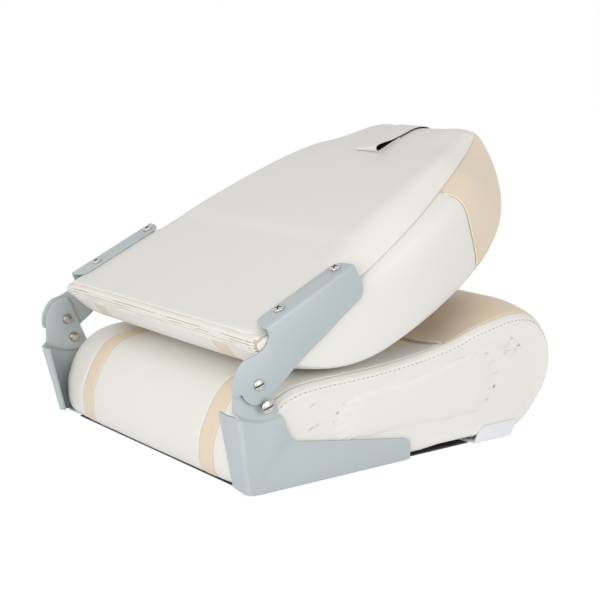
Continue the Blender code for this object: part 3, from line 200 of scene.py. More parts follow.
# A thin strip at the bottom of each sewn seam gets painted shade, a darker vinyl, so it reads as a darker line
SEAM_PAINTED_SHADE = surface_finish("vinyl_with_painted_seam_shade", ("CFC7B8", "C3BAA9"), (0.5, 0.6), 20, ("noise", 1.0, 0.02))
# Partly a real black board, partly painted shade: its wings at the sides paint the shade under the side panels'
# lower edge
BLACK_BOARD_AND_SHADE = surface_finish("black_board_and_painted_shade", ("3A3B3D", "2E2F31"), (0.6, 0.75), 20,
                            ("noise", 1.2, 0.05))
print(len(bpy.data.materials), "materials")

# %% [markdown]
# ## Floor and light
# A product table: a pale floor that runs to a white horizon, a bright even room, and two large soft lamps from
# the camera's side, because in the photograph the sides that face us are a little brighter than the top. The
# floor adds a glow that only the camera and reflections see, so that open floor is white and a shadow still
# shows. No lamp is bright enough to push the pale vinyl to pure white.

# %% Floor, room and lamps
FLOOR_SIZE, FLOOR_DROP, GLOW_STRENGTH, GLOW_SHARE = 6, 0.2 * MM, 1.3, 0.66
ROOM_STRENGTH, LAMP_DISTANCE, LAMP_SIZE, LAMP_AIM = 0.52, 2.6, 1.8, 0.15


def white_to_camera(tree):
    """1 where a ray comes from the camera, a mirror or glass, else 0."""
    path = add_node(tree, "ShaderNodeLightPath").outputs
    seen = add_node(tree, "ShaderNodeMath", {0: path["Is Camera Ray"], 1: path["Is Glossy Ray"]},
                    operation="MAXIMUM")
    return add_node(tree, "ShaderNodeMath", {0: seen.outputs[0], 1: path["Is Transmission Ray"]},
                    operation="MAXIMUM").outputs[0]


def pale_floor():
    bm = bmesh.new()
    bmesh.ops.create_grid(bm, x_segments=1, y_segments=1, size=FLOOR_SIZE)
    bmesh.ops.translate(bm, vec=(0, 0, -FLOOR_DROP), verts=bm.verts)
    mesh = bpy.data.meshes.new("studio_floor")
    bm.to_mesh(mesh)
    bm.free()
    made = bpy.data.materials.new("pale_studio_floor")
    made.use_nodes = True
    tree = made.node_tree
    shader = tree.nodes["Principled BSDF"]
    shader.inputs["Base Color"].default_value = linear("E6E8EE")
    shader.inputs["Roughness"].default_value = 0.8
    glow = add_node(tree, "ShaderNodeEmission", {"Color": (1, 1, 1, 1), "Strength": GLOW_STRENGTH})
    share = add_node(tree, "ShaderNodeMath", {0: white_to_camera(tree), 1: GLOW_SHARE}, operation="MULTIPLY")
    mix = add_node(tree, "ShaderNodeMixShader",
                   {0: share.outputs[0], 1: shader.outputs["BSDF"], 2: glow.outputs["Emission"]})
    tree.links.new(mix.outputs[0], tree.nodes["Material Output"].inputs["Surface"])
    mesh.materials.append(made)
    floor = bpy.data.objects.new("studio_floor", mesh)
    bpy.context.scene.collection.objects.link(floor)


def studio_room():
    world = bpy.data.worlds.new("studio_room")
    world.use_nodes = True
    tree = world.node_tree
    room = tree.nodes["Background"]
    room.inputs["Color"].default_value = (0.97, 0.985, 1.0, 1.0)
    room.inputs["Strength"].default_value = ROOM_STRENGTH
    white = add_node(tree, "ShaderNodeBackground", {"Color": (1, 1, 1, 1), "Strength": 1.0})
    mix = add_node(tree, "ShaderNodeMixShader",
                   {0: white_to_camera(tree), 1: room.outputs[0], 2: white.outputs[0]})
    tree.links.new(mix.outputs[0], tree.nodes["World Output"].inputs["Surface"])
    bpy.context.scene.world = world


def soft_lamp(name, azimuth, elevation, power):
    """A square lamp that looks at the seat. The angles are in degrees and the power is in watts."""
    turn, rise = math.radians(azimuth), math.radians(elevation)
    away = Vector((math.sin(turn) * math.cos(rise), -math.cos(turn) * math.cos(rise), math.sin(rise)))
    data = bpy.data.lights.new(name, "AREA")
    data.shape = "SQUARE"
    data.size = LAMP_SIZE
    data.energy = power
    lamp = bpy.data.objects.new(name, data)
    lamp.matrix_world = (Matrix.Translation(away * LAMP_DISTANCE + Vector((0, 0, LAMP_AIM)))
                         @ away.to_track_quat("Z", "Y").to_matrix().to_4x4())
    bpy.context.scene.collection.objects.link(lamp)


pale_floor()
studio_room()
soft_lamp("left_softbox", 200, 16, 34)
soft_lamp("right_softbox", 278, 14, 23)
bpy.context.scene.view_settings.view_transform = "Standard"

# %% [markdown]
# ## Sizes shared with the CAD model
# The visible pieces must sit where the hidden solids sit, so the same sizes are written here again. The
# backrest has its own frame on the hinge: x to one side, y along the backrest, z out of its rear face. Pieces
# are made in that frame and their points are then moved to the world, which leaves every object at the origin.

# %% Sizes and frames
ARM_INNER_HALF, SHEET, GAP = 205.5 * MM, 2.5 * MM, 0.3 * MM
OUTER_HALF = ARM_INNER_HALF + SHEET
EAR_OUTER = ARM_INNER_HALF - 2 * GAP - 1.0 * MM
PIVOT = Vector((0, 243.5, 122.7)) * MM
STOP_REACH, STOP_ANGLE = 26.4 * MM, math.radians(248.2)
STOP = PIVOT + STOP_REACH * Vector((0, math.cos(STOP_ANGLE), math.sin(STOP_ANGLE)))
BACK_TILT = math.radians(26.2)
BACK_AXES = Matrix(((-1, 0, 0), (0, -math.cos(BACK_TILT), math.sin(BACK_TILT)),
                    (0, math.sin(BACK_TILT), math.cos(BACK_TILT)))).to_4x4()
BACK_FRAME = Matrix.Translation(PIVOT) @ BACK_AXES
SEAT_FRAME = Matrix.Identity(4)
SEAT_DEPTH, SEAT_HEIGHT, SEAT_REAR_Y = 532 * MM, 173 * MM, 255 * MM
SEAT_HALF, SEAT_SEAM_HALF, SEAT_UNDERSIDE = 204 * MM, 194.5 * MM, 2.8 * MM
SEAT_SIDE_EDGE = 7 * MM
BACK_LENGTH, BACK_THICK, BACK_RISE, HEM_REACH = 505 * MM, 143.5 * MM, 46.5 * MM, 21 * MM
BACK_HALF, BACK_SEAM_HALF = 204.5 * MM, 200 * MM
ARM_TOP = BACK_RISE + GAP + SHEET
ARM_SCREWS = (66.6 * MM, 153 * MM)
ARM_SCREW_X, ARM_REACH = 191 * MM, 169 * MM
BRACKET_REAR_Y, BRACKET_FRONT_Y = 252.3 * MM, 16.3 * MM
print("pivot", [round(value, 4) for value in PIVOT], "stop", [round(value, 4) for value in STOP])

# %% Helpers for pieces


def mesh_object(name, mesh, finishes=()):
    for finish in finishes:
        mesh.materials.append(finish)
    made = bpy.data.objects.new(name, mesh)
    bpy.context.scene.collection.objects.link(made)
    return made


def to_mesh(bm, name):
    mesh = bpy.data.meshes.new(name)
    bm.to_mesh(mesh)
    bm.free()
    return mesh


def with_modifiers(obj):
    """The object's mesh with its modifiers applied, as a new mesh."""
    bpy.context.view_layer.update()
    graph = bpy.context.evaluated_depsgraph_get()
    return bpy.data.meshes.new_from_object(obj.evaluated_get(graph))


def settle(obj, frame_matrix=SEAT_FRAME, sharp=35):
    """Applies the modifiers, moves the points to the world and shades the mesh smooth between sharp edges."""
    mesh = with_modifiers(obj)
    obj.modifiers.clear()
    obj.data = mesh
    mesh.name = obj.name
    mesh.transform(frame_matrix)
    if frame_matrix.determinant() < 0:
        mesh.flip_normals()
    mesh.shade_smooth()
    mesh.set_sharp_from_angle(angle=math.radians(sharp))
    return obj


def hand_over(obj, body, slot, *stands_for):
    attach(obj, body)
    if stands_for:
        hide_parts(*stands_for)
    print(f"{obj.name}: {len(obj.data.polygons)} faces on {body}")
    return obj


def apply_modifiers(obj):
    obj.data = with_modifiers(obj)
    obj.modifiers.clear()


def subdivide(obj, levels):
    step = obj.modifiers.new("smooth", "SUBSURF")
    step.levels = step.render_levels = levels


def thicken(obj, thickness, offset, even=True):
    wall = obj.modifiers.new("wall", "SOLIDIFY")
    wall.thickness, wall.offset, wall.use_even_offset = thickness, offset, even


def round_edges(obj, width, degrees):
    edge = obj.modifiers.new("rounded", "BEVEL")
    edge.width, edge.segments, edge.limit_method, edge.angle_limit = width, 2, "ANGLE", math.radians(degrees)


def polar(radius, angle, centre=(0, 0)):
    return (centre[0] + radius * math.cos(angle), centre[1] + radius * math.sin(angle))


def arc(centre, radius, first, last, count):
    return [polar(radius, first + (last - first) * i / (count - 1), centre) for i in range(count)]


def quadratic(start, corner, end):
    """Nine points of the curve from start to end that is drawn towards the corner."""
    p, q, r = Vector(start), Vector(corner), Vector(end)
    return [tuple(p * (1 - t) ** 2 + q * 2 * t * (1 - t) + r * t ** 2) for t in (i / 8 for i in range(9))]


def blend(first, second, share):
    return first + (second - first) * share


# %% [markdown]
# ## Sections of the cushions
# A cushion is drawn the way a boat builder draws a hull: a few sections, each a closed ring of points, set one
# beside the other from the low side to the high side. Each point is a share of the cushion's length and height.
# The panels of vinyl meet along the same points in every section, so a seam is a line that runs through them.

# %% Sections
SEAT_MIDDLE_SHARES = (
    (0.013, 0.016), (0.0, 0.20), (0.009, 0.335), (0.03, 0.47), (0.066, 0.60), (0.117, 0.65), (0.20, 0.672),
    (0.39, 0.672), (0.575, 0.70), (0.645, 0.775), (0.715, 0.885), (0.797, 0.962), (0.885, 0.92), (0.953, 0.785),
    (1.0, 0.56), (0.983, 0.33), (0.927, 0.15), (0.859, 0.016), (0.818, 0.016), (0.775, 0.016), (0.10, 0.016),
    (0.055, 0.016),
)
SEAT_SIDE_SHARES = (
    (0.026, 0.016), (0.015, 0.21), (0.023, 0.33), (0.039, 0.445), (0.073, 0.56), (0.12, 0.625), (0.20, 0.655),
    (0.39, 0.68), (0.566, 0.757), (0.633, 0.815), (0.712, 0.867), (0.788, 0.90), (0.855, 0.867), (0.906, 0.74),
    (0.93, 0.55), (0.919, 0.347), (0.874, 0.173), (0.812, 0.016), (0.786, 0.016), (0.76, 0.016), (0.11, 0.016),
    (0.066, 0.016),
)
BACK_MIDDLE_SHARES = (
    (0.0, 0.003), (0.057, -0.007), (0.147, -0.017), (0.255, -0.031), (0.384, -0.045), (0.543, -0.059),
    (0.715, -0.052), (0.85, -0.017), (0.95, 0.073), (1.0, 0.42), (0.95, 0.784), (0.85, 0.937), (0.715, 1.0),
    (0.543, 0.965), (0.384, 0.895), (0.255, 0.826), (0.147, 0.68), (0.057, 0.46), (0.0, 0.265),
)
BACK_SIDE_SHARES = (
    (0.002, 0.045), (0.057, 0.087), (0.147, 0.13), (0.255, 0.157), (0.384, 0.143), (0.53, 0.117),
    (0.665, 0.103), (0.81, 0.088), (0.91, 0.12), (0.955, 0.43), (0.92, 0.74), (0.82, 0.865), (0.68, 0.92),
    (0.53, 0.905), (0.384, 0.854), (0.255, 0.784), (0.147, 0.631), (0.057, 0.394), (0.002, 0.185),
)
BACK_SEAM_SHARES = (1.0, 1.0, 1.0, 1.0, 0.965, 0.90, 0.79, 0.66, 0.55, 0.53, 0.60, 0.73, 0.83, 0.91, 0.975,
                    1.0, 1.0, 1.0, 1.0)
BACK_WIDEST_SHARES = (
    (0.002, 1.0), (0.057, 1.0), (0.147, 1.0), (0.255, 1.0), (0.384, 0.995), (0.545, 0.96), (0.70, 0.88),
    (0.80, 0.785), (0.87, 0.70), (0.895, 0.66), (0.87, 0.70), (0.79, 0.78), (0.70, 0.85), (0.545, 0.93),
    (0.384, 0.985), (0.255, 1.0), (0.147, 1.0), (0.057, 1.0), (0.002, 1.0),
)
SEAT_ACROSS_SHARES = ((0.45, 0.0), (0.604, 0.0), (0.72, 0.10), (0.90, 0.52), (1.0, 1.0))
BACK_ACROSS_SHARES = ((0.45, 0.0), (0.585, 0.0), (0.70, 0.02), (0.88, 0.10), (1.0, 1.0))
SIDE_ROUND_SHARE = 0.6
MIDDLE, STRIPE, EDGE, SIDE, BOLSTER, REAR, OPEN = range(7)
BEIGE_PANELS = (STRIPE, BOLSTER)


def stations(across_shares):
    low = [(-1, share, weight) for share, weight in reversed(across_shares)]
    return low + [(1, share, weight) for share, weight in across_shares]


def lengthwise_panel(station, last):
    from_seam = min(station, last - station)
    return (EDGE, EDGE, STRIPE, MIDDLE)[min(from_seam, 3)]


# %% [markdown]
# ## From rings to a smooth skin
# `bridge_loops` stitches each ring to the next with a strip of faces, and each face remembers its panel. A
# subdivision surface then rounds the coarse cage. It always shrinks inside its cage, so the cage is let out a
# few times by the distance that the surface falls short, until the skin passes through the drawn sections.

# %% Cage and skin


def cage_from_rings(rings, panel_of, close_end):
    bm = bmesh.new()
    count = len(rings[0])
    loops = []
    for ring in rings:
        verts = [bm.verts.new(point) for point in ring]
        loops.append((verts, [bm.edges.new(pair) for pair in zip(verts, verts[1:] + verts[:1])]))
    bm.verts.index_update()
    for station, (near, far) in enumerate(zip(loops, loops[1:])):
        for face in bmesh.ops.bridge_loops(bm, edges=near[1] + far[1])["faces"]:
            first = sorted(vert.index % count for vert in face.verts if vert.index // count == station)
            face.material_index = panel_of(station, first[1] if first[1] - first[0] > 1 else first[0])
    for verts, edges in (loops[0], loops[-1]):
        close_end(bm, verts, edges)
    bmesh.ops.recalc_face_normals(bm, faces=bm.faces)
    return bm


def through_sections(cage, count, rings, loose, free_ends):
    """Lets the cage out until its smooth surface passes through the sections."""
    mesh = cage.data
    subdivide(cage, 1)
    targets = [vert.co.copy() for vert in mesh.vertices]
    for _ in range(4):
        skin = with_modifiers(cage)
        for index in range(count * rings):
            station, i = divmod(index, count)
            short = targets[index] - skin.vertices[index].co
            if 1 < station < rings - 2:
                short.x = 0
            if i not in loose and not (free_ends and station in (0, rings - 1)):
                mesh.vertices[index].co += short
        bpy.data.meshes.remove(skin)
    cage.modifiers.clear()


# %% [markdown]
# ## Stuffing the covers
# Real vinyl over foam bulges a little between its seams. Blender's cloth can do this: the skin becomes cloth,
# gravity is off, a light pressure blows it up, and the seams are pinned because thread and staples hold them.
# Only the outward part of the movement is used. It is averaged over neighbouring points and kept to 2 mm, so
# the cushion keeps the size that the hidden foam has. The cloth doesn't repeat exactly from run to run.

# %% Cloth pressure
PRESSURE, MOST_BULGE, VINYL_BENDING = 1.2, 2.0 * MM, 2.0
CLOTH_FRAMES, AVERAGING_ROUNDS = 20, 12


def ease(value, low, high):
    """0 below low, 1 above high, smooth between."""
    t = max(0.0, min(1.0, (value - low) / (high - low)))
    return t * t * (3 - 2 * t)


def panel_borders(mesh):
    """Indices of the points where two panels meet."""
    panels = {}
    for face in mesh.polygons:
        for index in face.vertices:
            panels.setdefault(index, set()).add(face.material_index)
    return {index for index, found in panels.items() if len(found) > 1 or OPEN in found}


def even_out(mesh, inside, rounds, axes=(True, True, True), seams=False):
    """Relaxes the points that the test picks, along some axes, without or with the seams."""
    bm = bmesh.new()
    bm.from_mesh(mesh)
    borders = set() if seams else panel_borders(mesh)
    verts = [vert for vert in bm.verts if vert.index not in borders and inside(vert.co)]
    for _ in range(rounds):
        bmesh.ops.smooth_vert(bm, verts=verts, factor=0.5, use_axis_x=axes[0], use_axis_y=axes[1],
                              use_axis_z=axes[2])
    bm.to_mesh(mesh)
    bm.free()


def stuff(obj, pressure, most):
    """Blows the skin up a little between its seams."""
    pinned = obj.vertex_groups.new(name="seams")
    pinned.add(sorted(panel_borders(obj.data)), 1.0, "REPLACE")
    start = [(vert.co.copy(), vert.normal.copy()) for vert in obj.data.vertices]
    cloth = obj.modifiers.new("stuffing", "CLOTH")
    cloth.settings.vertex_group_mass = "seams"
    cloth.settings.use_pressure = True
    cloth.settings.uniform_pressure_force = pressure
    cloth.settings.effector_weights.gravity = 0
    cloth.settings.bending_stiffness = VINYL_BENDING
    cloth.point_cache.frame_start, cloth.point_cache.frame_end = 1, CLOTH_FRAMES
    for step in range(1, CLOTH_FRAMES + 1):
        bpy.context.scene.frame_set(step)
    swollen = with_modifiers(obj)
    obj.modifiers.clear()
    shifts = [(after.co - before).dot(normal) for (before, normal), after in zip(start, swollen.vertices)]
    largest = max(abs(shift) for shift in shifts)
    shifts = [max(0.0, min(2 * most, shift)) for shift in shifts]
    for _ in range(AVERAGING_ROUNDS):
        sums, counts = [0.0] * len(shifts), [0] * len(shifts)
        for edge in obj.data.edges:
            for a, b in (edge.vertices, reversed(edge.vertices)):
                sums[a] += shifts[b]
                counts[a] += 1
        shifts = [(shift + total / count) / 2 for shift, total, count in zip(shifts, sums, counts)]
    for vert, (before, normal), shift in zip(obj.data.vertices, start, shifts):
        vert.co = before + normal * most * math.tanh(shift / most)
    bpy.context.scene.frame_set(1)
    bpy.data.meshes.remove(swollen)
    print(f"{obj.name}: cloth moved it by up to {largest / MM:.1f} mm, kept to {most / MM:.1f} mm")


# %% [markdown]
# ## Sewing
# Each panel gets a narrow strip along its border with `inset_region`, and the border itself is pulled inwards.
# After one more subdivision that is a seam: two rounded edges with a thin valley between them. The lines of
# the seams are then read back from the skin, because the piping and the stitches have to follow them.

# %% Seams
SEAM_STRIP, SEAM_DEPTH = 1.0 * MM, 1.7 * MM


def sew(obj):
    bm = bmesh.new()
    bm.from_mesh(obj.data)
    for panel in sorted({face.material_index for face in bm.faces}):
        faces = [face for face in bm.faces if face.material_index == panel]
        bmesh.ops.inset_region(bm, faces=faces, thickness=SEAM_STRIP, use_boundary=True, use_even_offset=True)
    for vert in bm.verts:
        panels = {face.material_index for face in vert.link_faces}
        if len(panels) > 1:
            vert.co -= vert.normal * SEAM_DEPTH
    bm.to_mesh(obj.data)
    bm.free()
    subdivide(obj, 1)
    apply_modifiers(obj)


def seam_line(mesh, first, second, keep):
    """Points and normals along the seam between two kinds of panel, in order."""
    bm = bmesh.new()
    bm.from_mesh(mesh)
    links, normals = {}, {}
    for edge in bm.edges:
        panels = [face.material_index for face in edge.link_faces]
        if len(panels) != 2 or not ({*panels} & {*first} and {*panels} & {*second}) or panels[0] == panels[1]:
            continue
        if not all(keep(vert.co) for vert in edge.verts):
            continue
        for vert, other in (edge.verts, reversed(edge.verts)):
            links.setdefault(vert.index, []).append(other.index)
            normals[vert.index] = vert.normal.copy()
    ends = [index for index, found in links.items() if len(found) == 1]
    bm.verts.ensure_lookup_table()
    walk = [min(ends or links)]
    while True:
        onward = [index for index in links[walk[-1]] if index not in walk[-2:]]
        if not onward or onward[0] == walk[0]:
            break
        walk.append(onward[0])
    line = [(bm.verts[index].co.copy(), normals[index]) for index in walk]
    bm.free()
    return line


def even_steps(points, step):
    """(point, direction) at even steps along a line of points."""
    found, run = [], 0.0
    for a, b in zip(points, points[1:]):
        length = (b - a).length
        while run <= length and length > 0:
            found.append((a.lerp(b, run / length), (b - a).normalized()))
            run += step
        run -= length
    return found


def tree_of(mesh):
    return BVHTree.FromPolygons([vert.co for vert in mesh.vertices], [list(p.vertices) for p in mesh.polygons])


# %% Piping and stitches


def piping(name, points, radius):
    """A cord along the points, as a closed mesh in the frame of the points."""
    data = bpy.data.curves.new(name, "CURVE")
    data.dimensions = "3D"
    data.bevel_depth, data.bevel_resolution, data.use_fill_caps = radius, 3, True
    spline = data.splines.new("POLY")
    spline.points.add(len(points) - 1)
    for point, place in zip(spline.points, points):
        point.co = (*place, 1)
    curve = bpy.data.objects.new(name + "_line", data)
    bpy.context.scene.collection.objects.link(curve)
    bm = bmesh.new()
    bm.from_mesh(with_modifiers(curve))
    bpy.data.objects.remove(curve)
    bmesh.ops.remove_doubles(bm, verts=bm.verts, dist=radius / 100)
    bmesh.ops.recalc_face_normals(bm, faces=bm.faces)
    return mesh_object(name, to_mesh(bm, name), [CREAM_PIPING])


def laid_on(line, height, tuck, depth):
    """Points at a height over a seam line; towards both ends they sink under the surface."""
    points = []
    for place, normal in line:
        to_end = min((place - line[0][0]).length, (place - line[-1][0]).length)
        points.append(place + normal * (height - depth * max(0.0, 1 - to_end / tuck) ** 1.5))
    return points


def stitches(name, line, tree, pitch, length, radius, finish, lift):
    """Short beads along a line, each lying on the surface, in the given finish: thread, or the painted shade of
    the needle holes.
    """
    bm = bmesh.new()
    for place, along in even_steps(line, pitch):
        spot, normal, _, _ = tree.find_nearest(place)
        turn = Matrix((along, normal.cross(along).normalized(), normal)).transposed().to_4x4()
        stretch = Matrix.Diagonal((length / 2, radius, radius, 1))
        bmesh.ops.create_uvsphere(bm, u_segments=6, v_segments=4, radius=1,
                                  matrix=Matrix.Translation(spot + normal * lift) @ turn @ stretch)
    return mesh_object(name, to_mesh(bm, name), [finish])


# %% [markdown]
# ## Splitting by colour
# The white and the beige vinyl are different rolls of cloth, so each becomes a piece of its own, with the
# cloth's real thickness turned inwards. They still share the bottom of every seam, so no gap opens.

# %% Panels by colour
VINYL_THICK = 1.2 * MM


def part_by_colour(skin, name, beige, finish, matrix):
    valley = panel_borders(skin)
    bm = bmesh.new()
    bm.from_mesh(skin)
    # Faces that touch a seam get the darker vinyl: painted shade along the seams
    seam_shade_faces = {face for face in bm.faces if any(vert.index in valley for vert in face.verts)}
    unwanted = [face for face in bm.faces
                if face.material_index == OPEN or (face.material_index in BEIGE_PANELS) != beige]
    seam_shade_faces -= set(unwanted)
    bmesh.ops.delete(bm, geom=unwanted, context="FACES")
    for face in bm.faces:
        face.material_index = 1 if face in seam_shade_faces else 0
    mesh = bpy.data.meshes.new(name)
    mesh.materials.append(finish)
    mesh.materials.append(SEAM_PAINTED_SHADE)
    bm.to_mesh(mesh)
    bm.free()
    made = mesh_object(name, mesh)
    thicken(made, VINYL_THICK, -1, even=False)
    return settle(made, matrix, sharp=60)


# %% [markdown]
# ## Seat cushion
# A thick pad with a low bolster at the front: white on top, at the rear and at the sides, two beige stripes,
# and a beige bolster. Its sides pull in towards the seams and its underside is stapled flat to the base. The
# side panel is pulled down at two places by staples, which leaves small tongues along its lower edge. Away
# from its seam a side panel is nearly flat, and its width grows smoothly with the distance from the seam.

# %% Seat cushion: rings


def close_with_rings(bm, verts, edges):
    """Closes a flat end with rings that shrink towards its middle. Known fault: each extrusion also keeps the
    face that it starts from, so faces lie over one another here and the side panels crease."""
    face = bm.faces.new(verts)
    face.material_index = SIDE
    centre = face.calc_center_median()
    for share in (0.8, 0.72, 0.6):
        grown = bmesh.ops.extrude_face_region(bm, geom=[face])["geom"]
        inner = [item for item in grown if isinstance(item, bmesh.types.BMVert)]
        face = next(item for item in grown if isinstance(item, bmesh.types.BMFace))
        bmesh.ops.scale(bm, vec=(1, share, share), space=Matrix.Translation(-centre), verts=inner)


def inset_ring(points, distance):
    moved = []
    for before, point, after in zip(points[-1:] + points[:-1], points, points[1:] + points[:1]):
        along = (Vector(after) - Vector(before)).normalized()
        moved.append(Vector(point) + Vector((-along.y, along.x)) * distance)
    return moved


def seat_rings():
    middle, side = ([(SEAT_REAR_Y - along * SEAT_DEPTH, max(up * SEAT_HEIGHT, SEAT_UNDERSIDE))
                     for along, up in shares] for shares in (SEAT_MIDDLE_SHARES, SEAT_SIDE_SHARES))
    rings = [[(sign * share * SEAT_SEAM_HALF, blend(m[0], s[0], weight), blend(m[1], s[1], weight))
              for m, s in zip(middle, side)] for sign, share, weight in stations(SEAT_ACROSS_SHARES)]
    flat = inset_ring(side, SEAT_SIDE_EDGE)
    ends = [[(sign * SEAT_HALF, y, z) for y, z in flat] for sign in (-1, 1)]
    return [ends[0]] + rings + [ends[1]]


def seat_panel(station, i):
    if station in (0, 10):
        return SIDE
    if 18 <= i < 21:
        return OPEN
    if 8 <= i < 18:
        return BOLSTER
    return lengthwise_panel(station - 1, 8)


SEAT_RINGS = seat_rings()
seat_cage = cage_from_rings(SEAT_RINGS, seat_panel, close_with_rings)
seat_work = mesh_object("seat_work", to_mesh(seat_cage, "seat"))
through_sections(seat_work, len(SEAT_RINGS[0]), len(SEAT_RINGS), (17, 18, 19, 20, 21, 0), True)
subdivide(seat_work, 2)
apply_modifiers(seat_work)
stuff(seat_work, PRESSURE, MOST_BULGE)
even_out(seat_work.data, lambda co: abs(co.x) > 197 * MM, 8, (True, False, False))
sew(seat_work)
print("seat skin:", len(seat_work.data.polygons), "faces")

# %% Seat cushion: creases, tongues and stitches
TONGUES_Y, TONGUE_HALF, LOWER_EDGE = (-9 * MM, -56 * MM), 5 * MM, 16 * MM
TOPSTITCH_ASIDE = 6.2 * MM
SIDE_FLAT, SIDE_SWELL, SIDE_SWELL_REACH = 203.2 * MM, 1.3 * MM, 30 * MM


def side_line(mesh, sign):
    """The top seam of a side panel, from the rear round the nose."""
    return seam_line(mesh, (SIDE,), (EDGE, BOLSTER), lambda co: co.x * sign > 0 and co.z > 12 * MM)


def aside_of(line, distance, towards):
    """The line moved sideways over the surface, towards a point."""
    moved = []
    for i, (point, _) in enumerate(line):
        along = (line[min(i + 2, len(line) - 1)][0] - line[max(i - 2, 0)][0]).normalized()
        aim = Vector((0, towards.y - point.y, towards.z - point.z))
        aim -= along * aim.dot(along)
        moved.append(point + aim.normalized() * distance)
    return moved


def near_tree(points):
    tree = kdtree.KDTree(len(points))
    for index, point in enumerate(points):
        tree.insert(point, index)
    tree.balance()
    return tree


def wave(co, size, seed):
    return noise.noise(Vector((co.x / size + seed, co.y / size, co.z / size)))


seat_lines = {sign: side_line(seat_work.data, sign) for sign in (-1, 1)}
top_stitch = {sign: [Vector((sign * SEAT_HALF, point.y, point.z))
                     for point in aside_of(line, TOPSTITCH_ASIDE, Vector((0, -40 * MM, 60 * MM)))]
              for sign, line in seat_lines.items()}
stitch_tree = near_tree([point for line in top_stitch.values() for point, _ in even_steps(line, 1.5 * MM)])


def crease_seat(mesh):
    borders = panel_borders(mesh)
    for vert in mesh.vertices:
        co, normal = vert.co.copy(), vert.normal.copy()
        if vert.index not in borders:
            away = stitch_tree.find(co)[2]
            vert.co += normal * (0.35 * MM * math.exp(-((away - 3.4 * MM) / (1.6 * MM)) ** 2)
                                 - 0.4 * MM * math.exp(-(away / (1.5 * MM)) ** 2))
            vert.co += normal * (0.45 * MM * wave(co, 70 * MM, 3) + 0.12 * MM * wave(co, 22 * MM, 9))
        if abs(co.x) > 180 * MM and co.z < LOWER_EDGE and -96 * MM < co.y < 12 * MM:
            low = (LOWER_EDGE - co.z) / LOWER_EDGE
            tongue = max(math.exp(-((co.y - y) / TONGUE_HALF) ** 2) for y in TONGUES_Y)
            vert.co.z += low * (2.4 * MM - 3.2 * MM * tongue)
            vert.co += Vector((math.copysign(1, co.x), 0, 0)) * low * tongue * 0.8 * MM
    seams = [mesh.vertices[index].co for index in borders]
    seam_tree = near_tree([co for co in seams if abs(co.x) > 185 * MM])
    for vert in mesh.vertices:
        if abs(vert.co.x) > 199 * MM:
            seam = seam_tree.find(vert.co)[0]
            inside = math.hypot(vert.co.y - seam.y, vert.co.z - seam.z)
            flat = SIDE_FLAT + SIDE_SWELL * (1 - math.exp(-inside / SIDE_SWELL_REACH))
            flat += 0.3 * MM * wave(Vector((0, vert.co.y, vert.co.z)), 80 * MM, 3)
            side = blend(min(abs(vert.co.x), 204.5 * MM), flat, ease(inside, 8 * MM, 18 * MM))
            vert.co.x = math.copysign(side, vert.co.x)
        if vert.co.y > 14 * MM:
            vert.co.z = max(vert.co.z, SEAT_UNDERSIDE)
        low = max(0.0, 1 - (vert.co.z - SEAT_UNDERSIDE) / (30 * MM)) * ease(vert.co.y, 225 * MM, 236 * MM)
        vert.co += Vector((0, 4.5 * MM, -1.8 * MM)) * low


crease_seat(seat_work.data)
seat_tree = tree_of(seat_work.data)
seat_white = part_by_colour(seat_work.data, "seat_cushion_white_vinyl", False, WHITE_VINYL, SEAT_FRAME)
hand_over(seat_white, "seat", "white_vinyl", "seat_foam", "seat_cover_middle", "seat_cover_edge_left",
          "seat_cover_edge_right", "seat_side_panel_left", "seat_side_panel_right")
seat_beige = part_by_colour(seat_work.data, "seat_cushion_beige_vinyl", True, BEIGE_VINYL, SEAT_FRAME)
hand_over(seat_beige, "seat", "beige_vinyl", "seat_stripe_left", "seat_stripe_right", "seat_front_bolster")

# %% Seat cushion: thread and piping
STITCH_PITCH, STITCH_LENGTH, STITCH_RADIUS = 7.0 * MM, 5.2 * MM, 0.45 * MM


def stitch_row(name, line, tree, body, matrix=SEAT_FRAME):
    row = settle(stitches(name, line, tree, STITCH_PITCH, STITCH_LENGTH, STITCH_RADIUS, THREAD, 0.1 * MM),
                 matrix, sharp=80)
    hand_over(row, body, "white_vinyl")
    shifted = [place for place, _ in even_steps(line, STITCH_PITCH / 2)][1:]
    # Dark beads between the stitches are painted shade in the needle holes
    hole_shadows = stitches(name + "_hole_shadows", shifted, tree, STITCH_PITCH, 1.7 * MM, 0.6 * MM, NEEDLE_HOLE_SHADOW, 0.1 * MM)
    hand_over(settle(hole_shadows, matrix, sharp=80), body, "white_vinyl")


for sign, side in ((-1, "right"), (1, "left")):
    stitch_row(f"seat_topstitch_{side}", top_stitch[sign], seat_tree, "seat")

top_seam = seam_line(seat_work.data, (MIDDLE, STRIPE, EDGE), (BOLSTER,), lambda co: co.z > 60 * MM)
seat_cord = settle(piping("seat_piping_cord", laid_on(top_seam, 3.0 * MM, 16 * MM, 7 * MM), 1.6 * MM), sharp=60)
hand_over(seat_cord, "seat", "beige_vinyl", "seat_piping")
beside_cord = aside_of(top_seam, 4.5 * MM, Vector((0, 200 * MM, 110 * MM)))
stitch_row("seat_piping_stitch", beside_cord, seat_tree, "seat")
bpy.data.objects.remove(seat_work)

# %% [markdown]
# ## Backrest cushion
# The backrest lies face down: its rear face is on top, between the two steel arms. It narrows towards its far
# end, where a beige bolster wraps round. The same method makes it, in the backrest's own frame, and its two
# ends are closed by bridging the upper and the lower half of the last ring.

# %% Backrest cushion: rings


